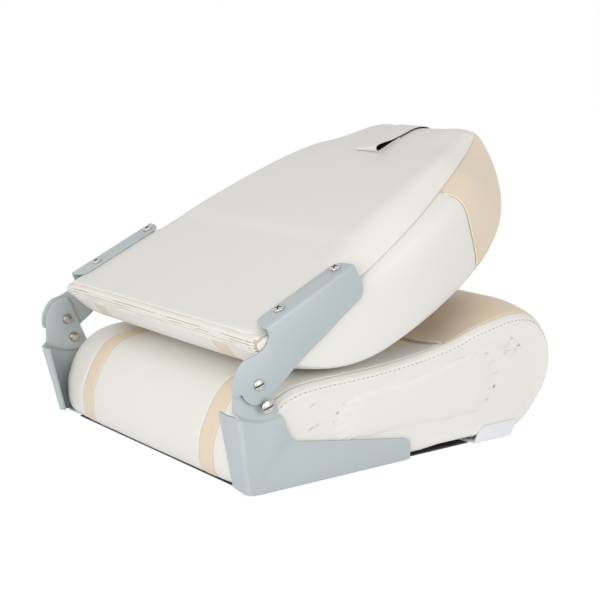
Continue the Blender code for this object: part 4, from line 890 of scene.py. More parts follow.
def close_with_strips(bm, verts, edges):
    """Joins the two halves of the ring with strips, so that the panels of the side stay separate."""
    nose = len(verts) // 2
    strips = bmesh.ops.bridge_loops(bm, edges=[edges[i] for i in range(nose - 1)]
                                    + [edges[len(verts) - 2 - i] for i in range(nose - 1)])["faces"]
    place = {vert: i for i, vert in enumerate(verts)}
    for face in strips:
        face.material_index = BOLSTER if min(place[vert] for vert in face.verts) >= 6 else SIDE
    tip = bm.faces.new((verts[nose - 1], verts[nose], verts[nose + 1]))
    tip.material_index = BOLSTER


def back_rings():
    middle, side = ([(HEM_REACH + along * BACK_LENGTH, BACK_RISE - down * BACK_THICK)
                     for along, down in shares] for shares in (BACK_MIDDLE_SHARES, BACK_SIDE_SHARES))
    halves = [share * BACK_SEAM_HALF for share in BACK_SEAM_SHARES]
    rings = [[(sign * share * half, blend(m[0], s[0], weight), blend(m[1], s[1], weight))
              for m, s, half in zip(middle, side, halves)]
             for sign, share, weight in stations(BACK_ACROSS_SHARES)]
    count = len(side)
    widest = []
    for i, (along, wide) in enumerate(BACK_WIDEST_SHARES):
        out, pair_out = side[i][1], side[count - 1 - i][1]
        widest.append((wide * BACK_HALF, HEM_REACH + along * BACK_LENGTH,
                       blend((out + pair_out) / 2, out, SIDE_ROUND_SHARE)))
    ends = [[(sign * x, along, out) for x, along, out in widest] for sign in (-1, 1)]
    return [ends[0]] + rings + [ends[1]]


def back_panel(station, i):
    if station in (0, 10):
        return BOLSTER if 6 <= i < 12 else SIDE
    if 8 <= i < 12:
        return BOLSTER
    return REAR if i < 8 else lengthwise_panel(station - 1, 8)


def slope_shoulders(mesh):
    """Rounds the far corners of the backrest and straightens the seam of its bolster."""
    corner = Vector(BACK_RINGS[9][8]) - Vector((8, 12, 10)) * MM * 0.8
    for vert in mesh.vertices:
        x, along, out = vert.co
        share = ease(along, 395 * MM, 500 * MM) * ease(abs(x), 55 * MM, 130 * MM) * ease(out, -70 * MM, 15 * MM)
        vert.co -= Vector((math.copysign(8 * MM, x), 12 * MM, 10 * MM)) * share
        away = (Vector((abs(x), along, out)) - corner).length
        vert.co += Vector((0, 11 * MM, 3 * MM)) * math.exp(-(away / (30 * MM)) ** 2)
        drop = (31.7 * MM - out) / (117 * MM)
        if abs(x) > 110 * MM and 0 < drop < 1:
            near = math.exp(-((along - 385 * MM) / (40 * MM)) ** 2)
            vert.co.y -= 8 * MM * math.sin(math.pi * drop) ** 1.5 * near * ease(abs(x), 110 * MM, 150 * MM)


def ease_seam(mesh, inside, rounds):
    """Rounds the corners of the seams that the test picks, by relaxing them along their own line."""
    bm = bmesh.new()
    bm.from_mesh(mesh)
    links = {}
    for edge in bm.edges:
        if len({face.material_index for face in edge.link_faces}) > 1:
            for vert, other in (edge.verts, reversed(edge.verts)):
                links.setdefault(vert, []).append(other)
    line = [vert for vert, ends in links.items() if len(ends) == 2 and inside(vert.co)]
    for _ in range(rounds):
        places = {vert: vert.co.lerp((links[vert][0].co + links[vert][1].co) / 2, 0.5) for vert in line}
        for vert, place in places.items():
            vert.co = place
    bm.to_mesh(mesh)
    bm.free()


def far_corner(co):
    return co.y > 425 * MM and abs(co.x) > 95 * MM and co.z > -30 * MM


BACK_RINGS = back_rings()
back_cage = cage_from_rings(BACK_RINGS, back_panel, close_with_strips)
back_work = mesh_object("back_work", to_mesh(back_cage, "back"))
through_sections(back_work, len(BACK_RINGS[0]), len(BACK_RINGS), (), False)
subdivide(back_work, 2)
apply_modifiers(back_work)
slope_shoulders(back_work.data)
even_out(back_work.data, far_corner, 2, seams=True)
ease_seam(back_work.data, far_corner, 14)
even_out(back_work.data, far_corner, 8)
stuff(back_work, PRESSURE, MOST_BULGE)
sew(back_work)
print("backrest skin:", len(back_work.data.polygons), "faces")

# %% Backrest cushion: creases and colours


def crease_back(mesh):
    borders = panel_borders(mesh)
    for vert in mesh.vertices:
        co, normal = vert.co.copy(), vert.normal.copy()
        if vert.index not in borders:
            vert.co += normal * (0.5 * MM * wave(co, 80 * MM, 5) + 0.12 * MM * wave(co, 24 * MM, 11))
        x, along, out = vert.co
        if out > 20 * MM and along < 205 * MM:
            wide = abs(x)
            want = BACK_RISE - 0.2 * MM - max(0.0, (wide - 184 * MM) / (13 * MM)) ** 2 * 9 * MM
            under_flange = ease(wide, 140 * MM, 172 * MM) * (1 - ease(along, 145 * MM, 190 * MM))
            over_hem = 1 - ease(along, 55 * MM, 115 * MM)
            flat = (1 - ease(along, 30 * MM, 300 * MM)) * (1 - ease(wide, 170 * MM, 190 * MM))
            vert.co.z += min(0.0, BACK_RISE + 0.6 * MM - out) * flat
            share = max(under_flange, over_hem) * (1 - ease(wide, 188 * MM, 200 * MM))
            share *= ease(along, 21 * MM, 27 * MM)
            vert.co.z += max(0.0, want - out) * share
        x, along, out = vert.co
        over = abs(x) - SIDE_FLAT
        if over > 0:
            vert.co.x = math.copysign(SIDE_FLAT + 2 * MM * math.tanh(over / (2 * MM)), x)
        if along < 176 * MM and abs(x) > 174 * MM:
            vert.co.z = min(out, BACK_RISE)


crease_back(back_work.data)
back_tree = tree_of(back_work.data)
back_white = part_by_colour(back_work.data, "backrest_white_vinyl", False, WHITE_VINYL, BACK_FRAME)
hand_over(back_white, "backrest", "white_vinyl", "back_foam", "back_padding", "back_cover_rear",
          "back_cover_front", "back_cover_edge_left", "back_cover_edge_right", "back_side_panel_left",
          "back_side_panel_right")
back_beige = part_by_colour(back_work.data, "backrest_beige_vinyl", True, BEIGE_VINYL, BACK_FRAME)
hand_over(back_beige, "backrest", "beige_vinyl", "back_stripe_left", "back_stripe_right", "back_bolster")

for sign, side in ((1, "right"), (-1, "left")):
    line = seam_line(back_work.data, (SIDE,), (BOLSTER,), lambda co: co.x * sign > 0)
    points = laid_on(line, 1.6 * MM, 14 * MM, 4.5 * MM)
    cord = settle(piping(f"backrest_piping_cord_{side}", points, 1.0 * MM), BACK_FRAME, sharp=60)
    hand_over(cord, "backrest", "beige_vinyl")

# %% [markdown]
# ## Hem
# At the hinge end the cover is closed by folds of vinyl laid one on the other and sewn flat. They read as four
# or five long ridges that are never quite straight, pinched together at both ends. One profile is swept across
# the backrest in many small steps, and each step moves its points a little. The faces between two ridges get
# the finish of vinyl in the shade.

# %% Hem
HEM_ENDS, HEM_FRONT, HEM_BACK, HEM_THICK = (-185 * MM, 203.5 * MM), 16 * MM, 25 * MM, 19 * MM
RIDGES, RIDGE_DEPTH, RIDGE_STEPS, HEM_STEPS, HEM_BOW = 5, 3.0 * MM, 8, 110, 1.5 * MM
HEM_MIDDLE = BACK_RISE - 1.6 * MM - HEM_THICK / 2


def hem_profile(x):
    """Closed outline (along, out) of the folds at x, which wanders with x."""
    to_end = min(x - HEM_ENDS[0], HEM_ENDS[1] - x)
    tail = min(1.0, to_end / (7 * MM))
    pinch = 0.72 + 0.28 * math.sqrt(1 - (1 - tail) ** 2)
    sag = 1.0 * MM * noise.noise(Vector((x / (75 * MM), 2, 0)))
    middle = HEM_MIDDLE + sag
    outline = []
    for k in range(RIDGES * RIDGE_STEPS + 1):
        share = k / (RIDGES * RIDGE_STEPS)
        ridge = abs(math.sin(math.pi * RIDGES * share)) ** 0.6
        wander = noise.noise(Vector((x / (38 * MM), share * 4, 7)))
        gather = noise.noise(Vector((x / (5 * MM), share * 9, 3))) * math.exp(-(to_end / (16 * MM)) ** 2)
        bow = HEM_BOW * math.sin(math.pi * share)
        along = HEM_FRONT + RIDGE_DEPTH * (1 - ridge) * (0.75 + 0.5 * wander) - bow + gather * 2.4 * MM
        along += (HEM_BACK - along) * (1 - pinch)
        out = middle + (0.5 - share) * HEM_THICK * pinch + wander * 0.5 * MM
        outline.append((along, out))
    outline.append((HEM_BACK, middle - HEM_THICK * pinch / 2))
    outline.append((HEM_BACK, middle + HEM_THICK * pinch / 2))
    return outline


def sweep(outline_at, places):
    """Bridges a closed outline from each place to the next, and closes both ends."""
    bm = bmesh.new()
    loops = []
    for x in places:
        verts = [bm.verts.new((x, along, out)) for along, out in outline_at(x)]
        loops.append([bm.edges.new(pair) for pair in zip(verts, verts[1:] + verts[:1])])
    for near, far in zip(loops, loops[1:]):
        bmesh.ops.bridge_loops(bm, edges=near + far)
    for edges in (loops[0], loops[-1]):
        bmesh.ops.holes_fill(bm, edges=edges, sides=0)
    bmesh.ops.recalc_face_normals(bm, faces=bm.faces)
    return bm


hem_places = [blend(*HEM_ENDS, 0.5 + 0.5 * math.sin(math.pi * (i / HEM_STEPS - 0.5)))
              for i in range(HEM_STEPS + 1)]
hem = mesh_object("gathered_hem", to_mesh(sweep(hem_profile, hem_places), "hem"), [HEM_VINYL, FOLD_SHADE])
for face in hem.data.polygons:
    share = 0.5 - (face.center.z - HEM_MIDDLE) / HEM_THICK
    depth = face.center.y - HEM_FRONT + HEM_BOW * math.sin(math.pi * max(0.0, min(1.0, share)))
    if 0.08 < share < 0.92 and 0.5 * RIDGE_DEPTH < depth < 2 * RIDGE_DEPTH:
        face.material_index = 1
hand_over(settle(hem, BACK_FRAME, sharp=50), "backrest", "white_vinyl", "back_hem")

# %% [markdown]
# ## Hold-down strap
# A flat strap of white vinyl is sewn to the top end of the backrest, lies over its crest and is folded back under
# itself. Its underside is a thin black layer that paints the shade inside the fold. Both layers follow one line;
# the vinyl has its thickness outside that line and the black layer inside it, so the black shows in the fold as
# the painted shade inside a drop.

# %% Strap
STRAP_HALF, STRAP_MIDDLE = 20 * MM, -13 * MM
STRAP_VINYL, STRAP_SHADE_LAYER = 1.1 * MM, 0.7 * MM
STRAP_TIP, STRAP_TAIL, STRAP_CREST, STRAP_SKEW = 394 * MM, 446 * MM, 488 * MM, 15 * MM


def above(x, along, lift):
    x += STRAP_SKEW * max(0.0, (STRAP_CREST - along) / (STRAP_CREST - STRAP_TIP))
    hit = back_tree.ray_cast(Vector((x, along, 0.4)), Vector((0, 0, -1)))[0]
    return Vector((x, along, hit.z + lift))


def beyond(x, out, lift):
    hit = back_tree.ray_cast(Vector((x, 1.0, out)), Vector((0, -1, 0)))[0]
    return Vector((x, hit.y + lift, out))


def strap_line(x):
    """Points of the strap at x, from its tail under the fold to its sewn end."""
    near = (x - STRAP_MIDDLE + STRAP_HALF) / (2 * STRAP_HALF)
    loop = blend(0.8, 4.0, near ** 1.2) * MM
    tip = STRAP_TIP + (1 - near) * 2 * MM
    rest = 0.3 * MM + STRAP_VINYL
    points = [above(x, tail, rest) for tail in (STRAP_TAIL, 434 * MM, 422 * MM, 409 * MM)]
    centre = above(x, tip + loop, rest + loop)
    for degrees in (262, 232, 202, 172, 142, 112, 92):
        turn = math.radians(degrees)
        points.append(centre + Vector((0, loop * math.cos(turn), loop * math.sin(turn))))
    over = rest + 2 * STRAP_SHADE_LAYER + 0.3 * MM
    for step, share in ((9, 0.94), (16, 0.76), (23, 0.52), (30, 0.29), (37, 0.13), (46, 0.03)):
        points.append(above(x, tip + step * MM, over + share * (2 * loop - (over - rest))))
    for along in (456, 464, 473, 482, 490, 497, 503):
        points.append(above(x, along * MM, over - 0.6 * MM))
    low = above(x, 503 * MM, 0).z
    for share in (0.25, 0.45, 0.65, 0.85, 1.0):
        points.append(beyond(x, blend(low, 6.5 * MM, share), 1.4 * MM))
    return points


def strap_strip(name, finish, thickness, side):
    bm = bmesh.new()
    columns = []
    for i in range(9):
        x = STRAP_MIDDLE + STRAP_HALF * (i / 4 - 1)
        verts = [bm.verts.new(point) for point in strap_line(x)]
        columns.append([bm.edges.new(pair) for pair in zip(verts, verts[1:])])
    for near, far in zip(columns, columns[1:]):
        bmesh.ops.bridge_loops(bm, edges=near + far)
    bmesh.ops.recalc_face_normals(bm, faces=bm.faces)
    bm.faces.ensure_lookup_table()
    lowest = min(bm.faces, key=lambda face: face.calc_center_median().y + abs(face.calc_center_median().x))
    if lowest.normal.y > 0:
        bmesh.ops.reverse_faces(bm, faces=bm.faces)
    made = mesh_object(name, to_mesh(bm, name), [finish])
    subdivide(made, 2)
    thicken(made, thickness, side)
    return settle(made, BACK_FRAME, sharp=50)


hand_over(strap_strip("strap_vinyl_face", WHITE_VINYL, STRAP_VINYL, 1), "backrest", "white_vinyl",
          "hold_down_strap")
# The black inner layer is painted shade inside the strap's fold
hand_over(strap_strip("strap_painted_shade_layer", STRAP_INNER_SHADE, STRAP_SHADE_LAYER, -1), "backrest", "white_vinyl")
bpy.data.objects.remove(back_work)

# %% [markdown]
# ## Sheet steel
# Brackets and arms are cut from flat sheet and folded. They are drawn the same way: a flat outline with its
# flanges still unfolded, cut into strips along each bend with `bisect_plane` and rolled round the bend's radius,
# and Solidify for the thickness of the sheet. A fine Bevel on the cut edges catches the light as a real deburred
# and painted edge does.

# %% Helpers for sheet steel


def bend_sheet(bm, edge_of, radius, inward, axis, lean=0.0, splay=0.0, steps=7):
    """Folds the part of a flat sheet that lies past a line by a right angle. The sheet is cut into strips along
    the bend, and each strip is rolled round its radius. Past the bend the sheet runs inwards, towards x = 0."""
    across, along = axis
    reach = math.pi / 2 * radius
    normal = [0.0, 0.0, 0.0]
    normal[across], normal[along] = 1.0, -lean
    for step in range(steps + 1):
        place = [0.0, 0.0, 0.0]
        place[across] = edge_of + reach * step / steps
        bmesh.ops.bisect_plane(bm, geom=bm.verts[:] + bm.edges[:] + bm.faces[:], plane_co=place,
                               plane_no=normal, dist=0.001 * MM)
    for vert in bm.verts:
        start = edge_of + lean * vert.co[along]
        past = vert.co[across] - start
        if past > 0:
            turn = min(past / radius, math.pi / 2)
            flat = max(0.0, past - reach)
            vert.co[across] = start + radius * math.sin(turn) + flat * splay
            vert.co.x += inward * (radius * (1 - math.cos(turn)) + flat)


def sheet_steel(name, bm, sign):
    """Turns the open surface outwards, gives it the sheet's thickness and rounds its cut edges."""
    bmesh.ops.recalc_face_normals(bm, faces=bm.faces)
    upright = max(bm.faces, key=lambda face: face.calc_area() * abs(face.normal.x))
    if upright.normal.x * sign < 0:
        bmesh.ops.reverse_faces(bm, faces=bm.faces)
    made = mesh_object(name, to_mesh(bm, name), [BLUE_GREY_PAINT])
    thicken(made, SHEET, -1)
    round_edges(made, 0.45 * MM, 50)
    return made


# %% Lower brackets
EAR_RADIUS, HUB_RADIUS = 29.5 * MM, 33.5 * MM
FRONT_FOOT, FRONT_RISE = (200.2 * MM, 63.1 * MM), 0.479  # a point of the upright's front edge, and y for each z
FOOT_CORNER, FOOT_FRONT_TOP = 9 * MM, 27.5 * MM
REAR_LEANS = {-1: 16.8 / 92, 1: 27 / 92}  # the left one was bent a little further back
REAR_BEND, FOOT_BEND = 4.5 * MM, 3 * MM
REAR_SPLAY = 5 / 30
# The rear flange's edge from its top to its foot: mm inwards from the bend, and height in mm
REAR_FLANGE_EDGE = ((6, 88.9), (10, 89.2), (15, 89.1), (20, 89.4), (24, 90.2), (27.5, 91.3), (29.3, 91.2),
                    (30, 89.6), (24, 9), (22, 6.4), (8, 2.4))
JOGGLE_CENTRE, JOGGLE_RADII = (231 * MM, 157.8 * MM), (79.5 * MM, 73.5 * MM)


def front_edge_y(z):
    return FRONT_FOOT[0] + FRONT_RISE * (z - FRONT_FOOT[1])


def joggle_row(share, lean):
    """Points of one line of the joggle, from the front edge to the rear edge of the ear."""
    radius = blend(*JOGGLE_RADII, share)
    rear = blend(BRACKET_REAR_Y + lean * 90 * MM - REAR_BEND, PIVOT.y + EAR_RADIUS, share)
    last = -math.acos((rear - JOGGLE_CENTRE[0]) / radius)
    first = last
    while JOGGLE_CENTRE[0] + radius * math.cos(first) > front_edge_y(JOGGLE_CENTRE[1] + radius * math.sin(first)):
        first -= 0.002
    return arc(JOGGLE_CENTRE, radius, first, last, 25)


def bracket_outline(lean):
    """The flat plate in y and z, with its two flanges still unfolded past the bends."""
    corner = (BRACKET_FRONT_Y + FOOT_CORNER, FOOT_FRONT_TOP - FOOT_CORNER)
    foot = -(45 * MM + FOOT_BEND * (math.pi / 2 - 1)) + FOOT_BEND
    outline = [(BRACKET_FRONT_Y + FOOT_CORNER, foot), (BRACKET_FRONT_Y + FOOT_CORNER, 0.5 * MM),
               (BRACKET_FRONT_Y, 1.5 * MM)]
    outline += arc(corner, FOOT_CORNER, math.pi, math.pi / 2 + 0.15, 9)
    outline += quadratic((183 * MM, 50.8 * MM), (front_edge_y(52.6 * MM), 52.6 * MM),
                         (front_edge_y(63 * MM), 63 * MM))
    outline += joggle_row(0, lean)
    bend = math.pi / 2 * REAR_BEND - REAR_BEND
    for inward, height in REAR_FLANGE_EDGE:
        outline.append((BRACKET_REAR_Y + lean * height * MM - REAR_BEND + bend + inward * MM, height * MM))
    outline += [(BRACKET_REAR_Y - REAR_BEND + 1.5 * MM, 2.4 * MM), (BRACKET_REAR_Y - REAR_BEND - 1 * MM, 1 * MM),
                (BRACKET_REAR_Y - 14 * MM, 1 * MM), (BRACKET_REAR_Y - 14 * MM, foot)]
    return outline


def lower_bracket(sign, lean):
    bm = bmesh.new()
    outer_x, ear_x = sign * OUTER_HALF, sign * EAR_OUTER
    bm.faces.new([bm.verts.new((outer_x, y, z)) for y, z in bracket_outline(lean)])
    bend_sheet(bm, BRACKET_REAR_Y - REAR_BEND, REAR_BEND, -sign, (1, 2), lean, REAR_SPLAY)
    for vert in bm.verts:
        vert.co.z = -vert.co.z
    bend_sheet(bm, -FOOT_BEND, FOOT_BEND, -sign, (2, 1), steps=5)
    for vert in bm.verts:
        vert.co.z = -vert.co.z
    rows = []
    for step in range(9):
        share = step / 8
        x = blend(outer_x, ear_x, ease(share, 0, 1))
        rows.append([bm.verts.new((x, y, z)) for y, z in joggle_row(share, lean)])
        edges = [bm.edges.new(pair) for pair in zip(rows[-1], rows[-1][1:])]
        if step:
            bmesh.ops.bridge_loops(bm, edges=edges + before)
        before = edges
    top = (PIVOT.y + 3.5 * MM, PIVOT.z + math.sqrt(EAR_RADIUS ** 2 - (3.5 * MM) ** 2))
    crown = arc((PIVOT.y, PIVOT.z), EAR_RADIUS, 0, math.acos(3.5 * MM / EAR_RADIUS), 21)
    front = front_edge_y(top[1] - 1.5 * MM)
    crown += [(front + 2.2 * MM, top[1] + 0.2 * MM), (front + 0.8 * MM, top[1] - 0.4 * MM),
              (front, top[1] - 1.5 * MM)]
    bm.faces.new(rows[-1] + [bm.verts.new((ear_x, y, z)) for y, z in crown])
    bmesh.ops.remove_doubles(bm, verts=bm.verts, dist=0.01 * MM)
    return bm


for sign, side in ((-1, "right"), (1, "left")):
    plate = lower_bracket(sign, REAR_LEANS[sign])
    bracket = settle(sheet_steel(f"hinge_bracket_{side}", plate, sign), sharp=40)
    hand_over(bracket, "seat", "blue_grey_paint", f"lower_bracket_{side}")

# %% Backrest arms
ARM_LOWER_SHARES = (
    (0.032, -0.137), (0.095, -0.106), (0.178, -0.092), (0.267, -0.069), (0.409, -0.038), (0.582, -0.013),
    (0.765, 0.024), (0.89, 0.042), (0.957, 0.06), (0.992, 0.098), (1.0, 0.151),
)
ARM_NECK_SHARES = ((0.205, 0.23), (0.17, 0.195), (0.117, 0.181), (0.041, 0.183))
ARM_FLANGE_SHARES = ((0.205, 0.0), (0.208, 0.35), (0.222, 0.7), (0.25, 0.93), (0.30, 1.0), (0.90, 1.0),
                     (0.95, 0.93), (0.975, 0.72), (0.985, 0.4), (0.99, 0.0))
ARM_FLANGE, ARM_BEND = 28 * MM, 3.8 * MM
NOTCH_RADIUS, STOP_SLEEVE, OPEN_ANGLE = 21.8 * MM, 3.9 * MM, math.radians(83)


def smooth_line(points, steps):
    """A Catmull-Rom curve through the points, with so many steps to a span."""
    found = []
    guided = [points[0]] + list(points) + [points[-1]]
    for p0, p1, p2, p3 in zip(guided, guided[1:], guided[2:], guided[3:]):
        for i in range(steps):
            t = i / steps
            found.append(tuple(0.5 * (2 * b + (c - a) * t + (2 * a - 5 * b + 4 * c - d) * t ** 2
                                      + (3 * b - a - 3 * c + d) * t ** 3)
                               for a, b, c, d in zip(p0, p1, p2, p3)))
    return found + [tuple(points[-1])]


def back_arm(sign):
    bm = bmesh.new()
    plate_x = sign * OUTER_HALF
    stop_polar = math.pi - BACK_TILT - STOP_ANGLE + 2 * math.pi
    wall = stop_polar - OPEN_ANGLE - math.asin((STOP_SLEEVE + GAP) / STOP_REACH)
    hub = arc((0, 0), HUB_RADIUS, math.radians(97), math.radians(164), 25)
    step = [polar(HUB_RADIUS - 1.2 * MM, wall - 0.05), polar(HUB_RADIUS - 3 * MM, wall),
            polar(NOTCH_RADIUS + 3 * MM, wall), polar(NOTCH_RADIUS + 0.9 * MM, wall + 0.04)]
    notch = arc((0, 0), NOTCH_RADIUS, wall + 0.13, stop_polar, 19)
    lower = [(along * ARM_REACH, out * ARM_REACH) for along, out in ARM_LOWER_SHARES]
    outline = hub + step + notch + smooth_line(lower, 3)
    grow = ARM_BEND * (math.pi / 2 - 2)
    flange = [(along * ARM_REACH, ARM_TOP + across * (ARM_FLANGE + grow) - (ARM_BEND if across == 0 else 0))
              for along, across in reversed(ARM_FLANGE_SHARES)]
    neck = smooth_line([(along * ARM_REACH, out * ARM_REACH) for along, out in ARM_NECK_SHARES], 3)
    bm.faces.new([bm.verts.new((plate_x, *point)) for point in outline + flange + neck])
    bend_sheet(bm, ARM_TOP - ARM_BEND, ARM_BEND, -sign, (2, 1))
    bmesh.ops.remove_doubles(bm, verts=bm.verts, dist=0.01 * MM)
    return bm


for side, sign in (("right", 1), ("left", -1)):
    arm = settle(sheet_steel(f"backrest_arm_{side}", back_arm(sign), sign), BACK_FRAME, sharp=40)
    hand_over(arm, "backrest", "blue_grey_paint", f"arm_{side}")

# %% [markdown]
# ## Screws and nuts
# Turned pieces start as half of their profile, and `spin` carries it once round the axis. The slots are cut with a
# Boolean, their cut faces take a near-black finish as painted shade, and the cut edges get a fine bevel, so that
# they glint. The domes are polished by plating.

# %% Turned pieces


def turned(name, profile, seat_point, direction, finish, steps=40):
    bm = bmesh.new()
    verts = [bm.verts.new((radius, 0, height)) for radius, height in profile]
    edges = [bm.edges.new(pair) for pair in zip(verts, verts[1:])]
    bmesh.ops.spin(bm, geom=verts + edges, cent=(0, 0, 0), axis=(0, 0, 1), angle=2 * math.pi, steps=steps,
                   use_merge=True)
    bmesh.ops.remove_doubles(bm, verts=bm.verts, dist=0.001 * MM)
    bmesh.ops.recalc_face_normals(bm, faces=bm.faces)
    turn = Vector(direction).to_track_quat("Z", "Y").to_matrix().to_4x4()
    bmesh.ops.transform(bm, matrix=Matrix.Translation(seat_point) @ turn, verts=bm.verts)
    return mesh_object(name, to_mesh(bm, name), [finish])


def cut_bars(obj, bars):
    """Cuts boxes from the object. A bar is (low corner, high corner, matrix)."""
    bm = bmesh.new()
    for low, high, matrix in bars:
        low, high = Vector(low), Vector(high)
        bmesh.ops.create_cube(bm, size=1, matrix=matrix @ Matrix.Translation((low + high) / 2)
                              @ Matrix.Diagonal((*(high - low), 1)))
    cutter = mesh_object("bars", to_mesh(bm, "bars"), [SLOT_SHADE])
    step = obj.modifiers.new("slot", "BOOLEAN")
    step.operation, step.object, step.use_self = "DIFFERENCE", cutter, True
    # The cut faces take the cutter's near-black finish, painted shade in the slots
    step.material_mode = "TRANSFER"
    round_edges(obj, 0.12 * MM, 40)
    apply_modifiers(obj)
    bpy.data.objects.remove(cutter)
    return obj


def dome(radius, height, edge_share, count=9):
    edge = height * edge_share
    return [(radius * math.sin(t), edge + (height - edge) * math.cos(t))
            for t in (math.pi / 2 * i / (count - 1) for i in range(count))]


SLOT_TURN = math.radians(18)


def slotted_screw(name, at, sign, shank, head, height, end_x, seat_x, sleeve):
    end = end_x - seat_x
    profile = dome(head, height, 0.32) + [(head - 0.3 * MM, 0), (sleeve, 0), (sleeve, end + 9 * MM),
                                          (shank, end + 9 * MM), (shank, end), (0, end)]
    screw = turned(name, profile, (sign * seat_x, at.y, at.z), (sign, 0, 0), BRIGHT_STEEL)
    place = (Matrix.Translation((0, at.y, at.z)) @ Matrix.Diagonal((sign, sign, 1, 1))
             @ Matrix.Rotation(SLOT_TURN, 4, "X"))
    bar = ((seat_x + height - 1.7 * MM, -2 * head, -0.85 * MM), (seat_x + height + 5 * MM, 2 * head, 0.85 * MM))
    return settle(cut_bars(screw, [(*bar, place)]), sharp=35)


SCREW_END_X = EAR_OUTER - SHEET - GAP - 4.8 * MM
for sign, side in ((-1, "right"), (1, "left")):
    screw = slotted_screw(f"hinge_screw_{side}", PIVOT, sign, 3.9 * MM, 6.3 * MM, 3.2 * MM, SCREW_END_X,
                          OUTER_HALF + GAP, 3.9 * MM)
    hand_over(screw, "seat", "bright_steel", f"pivot_screw_{side}")
    screw = slotted_screw(f"stop_bolt_{side}", STOP, sign, 3.9 * MM, 7.5 * MM, 3.6 * MM, SCREW_END_X,
                          OUTER_HALF + 3.2 * MM, STOP_SLEEVE)
    hand_over(screw, "seat", "bright_steel", f"stop_screw_{side}")
    for at, kind in ((PIVOT, "pivot"), (STOP, "stop")):
        inner = EAR_OUTER - SHEET - GAP
        profile = [(0, 4.9 * MM), (2.6 * MM, 4.6 * MM), (3.3 * MM, 3.4 * MM), (3.7 * MM, 2.9 * MM),
                   (4.4 * MM, 3.3 * MM), (5.4 * MM, 3.1 * MM), (6.2 * MM, 1.9 * MM), (6.5 * MM, 0), (0, 0)]
        nut = turned(f"{kind}_rivet_nut_{side}", profile, (sign * inner, at.y, at.z), (-sign, 0, 0), DULL_STEEL)
        hand_over(settle(nut, sharp=40), "seat", "bright_steel", f"{kind}_nut_{side}")

# %% Cross-recess screws in the arms
PAN_RADIUS, PAN_HEIGHT = 6.4 * MM, 3.3 * MM
for side, sign in (("right", 1), ("left", -1)):
    for along, end in zip(ARM_SCREWS, ("near", "far")):
        under = ARM_TOP + GAP / 2
        profile = dome(PAN_RADIUS, PAN_HEIGHT, 0.42) + [(PAN_RADIUS - 0.2 * MM, 0), (2.4 * MM, 0),
                                                        (2.4 * MM, -38 * MM), (0, -38 * MM)]
        screw = turned(f"flange_screw_{end}_{side}", profile, (sign * ARM_SCREW_X, along, under), (0, 0, 1),
                       BRIGHT_STEEL)
        top = under + PAN_HEIGHT
        bars = [((-4.2 * MM, -0.9 * MM, top - 2.1 * MM), (4.2 * MM, 0.9 * MM, top + 5 * MM),
                 Matrix.Translation((sign * ARM_SCREW_X, along, 0)) @ Matrix.Rotation(turn, 4, "Z"))
                for turn in (math.radians(38), math.radians(128))]
        hand_over(settle(cut_bars(screw, bars), BACK_FRAME, sharp=35), "backrest", "bright_steel",
                  f"arm_screw_{end}_{side}")

# %% [markdown]
# ## Base and what is carried over
# Under the cushion lies a thin black board, whose edge is the dark line along the floor. Its wings, which reach
# out under the side panels, are painted shade below their lower edge. The moulded base, its brass inserts and the
# small hidden parts keep their CAD shapes and only get a finish.

# %% Base board and carried-over nodes
# Each guard corner in mm, as y and z: start, corner and end of its curve, then the points outside it
GUARD_CORNERS = (
    ((-99.2, 5), (-106.6, 20), (-121, 20.2), ((-121, 26), (-88, 26), (-88, 5))),
    ((-168, 5), (-162.6, 0), (-156, -0.2), ((-156, -5), (-175, -5), (-175, 5))),
)


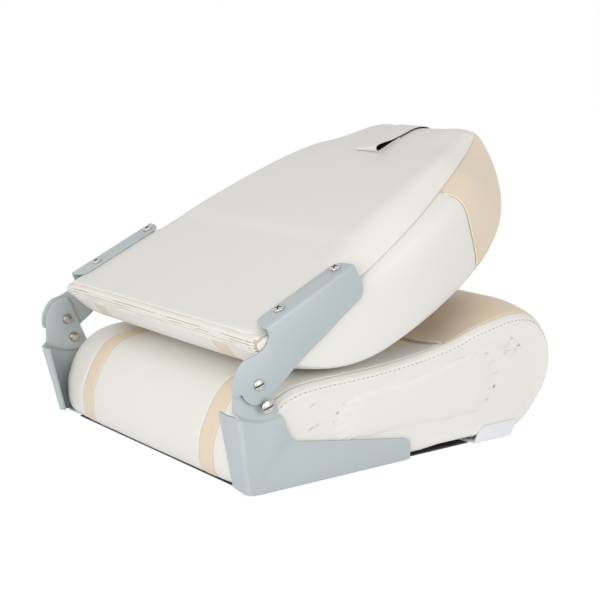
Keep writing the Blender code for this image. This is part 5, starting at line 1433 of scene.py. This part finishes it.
def black_board_and_shade():
    bm = bmesh.new()
    # The wings from x 170 to 199 mm, between y -92 and 6 mm, are painted shade under the lower edge of the side
    # panels
    outline = [(-168, 243), (168, 243), (170, 6), (199, 6), (199, -92), (170, -92), (170, -150), (-170, -150),
               (-170, -92), (-199, -92), (-199, 6), (-170, 6)]
    face = bm.faces.new([bm.verts.new((x * MM, y * MM, 0.3 * MM)) for x, y in outline])
    raised = bmesh.ops.extrude_face_region(bm, geom=[face])["geom"]
    verts = [item for item in raised if isinstance(item, bmesh.types.BMVert)]
    bmesh.ops.translate(bm, vec=(0, 0, 1.3 * MM), verts=verts)
    bmesh.ops.recalc_face_normals(bm, faces=bm.faces)
    return mesh_object("black_base_board_and_shade", to_mesh(bm, "board"), [BLACK_BOARD_AND_SHADE])


def moulded_base():
    """The CAD base with the rounded corners that its two guards have."""
    bm = bmesh.new()
    bm.from_mesh(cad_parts["seat_base"].data)
    bmesh.ops.remove_doubles(bm, verts=bm.verts, dist=0.005 * MM)
    base = mesh_object("moulded_base", to_mesh(bm, "moulded_base"), [WHITE_PLASTIC])
    cuts = bmesh.new()
    for sign in (-1, 1):
        for start, corner, end, outside in GUARD_CORNERS:
            outline = quadratic(start, corner, end) + list(outside)
            face = cuts.faces.new([cuts.verts.new((sign * 195 * MM, y * MM, z * MM)) for y, z in outline])
            grown = bmesh.ops.extrude_face_region(cuts, geom=[face])["geom"]
            bmesh.ops.translate(cuts, vec=(sign * 20 * MM, 0, 0),
                                verts=[item for item in grown if isinstance(item, bmesh.types.BMVert)])
    bmesh.ops.recalc_face_normals(cuts, faces=cuts.faces)
    cutter = mesh_object("guard_corners", to_mesh(cuts, "guard_corners"))
    step = base.modifiers.new("corners", "BOOLEAN")
    step.operation, step.object = "DIFFERENCE", cutter
    round_edges(base, 0.5 * MM, 40)
    settle(base, sharp=35)
    bpy.data.objects.remove(cutter)
    return base


hand_over(settle(black_board_and_shade()), "seat", "white_plastic")
hand_over(moulded_base(), "seat", "white_plastic", "seat_base")
for name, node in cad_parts.items():
    if node.hide_render:
        continue
    if name.startswith("threaded_insert"):
        node.material_slots[0].material = BRASS
    elif name.startswith(("base_screw", "t_nut", "strap_stud")):
        node.material_slots[0].material = DULL_STEEL
    elif name.startswith("pivot_washer"):
        node.material_slots[0].material = NYLON
    elif name == "back_board":
        node.material_slots[0].material = PLYWOOD
    else:
        node.material_slots[0].material = WHITE_PLASTIC
    print("carried over:", name)
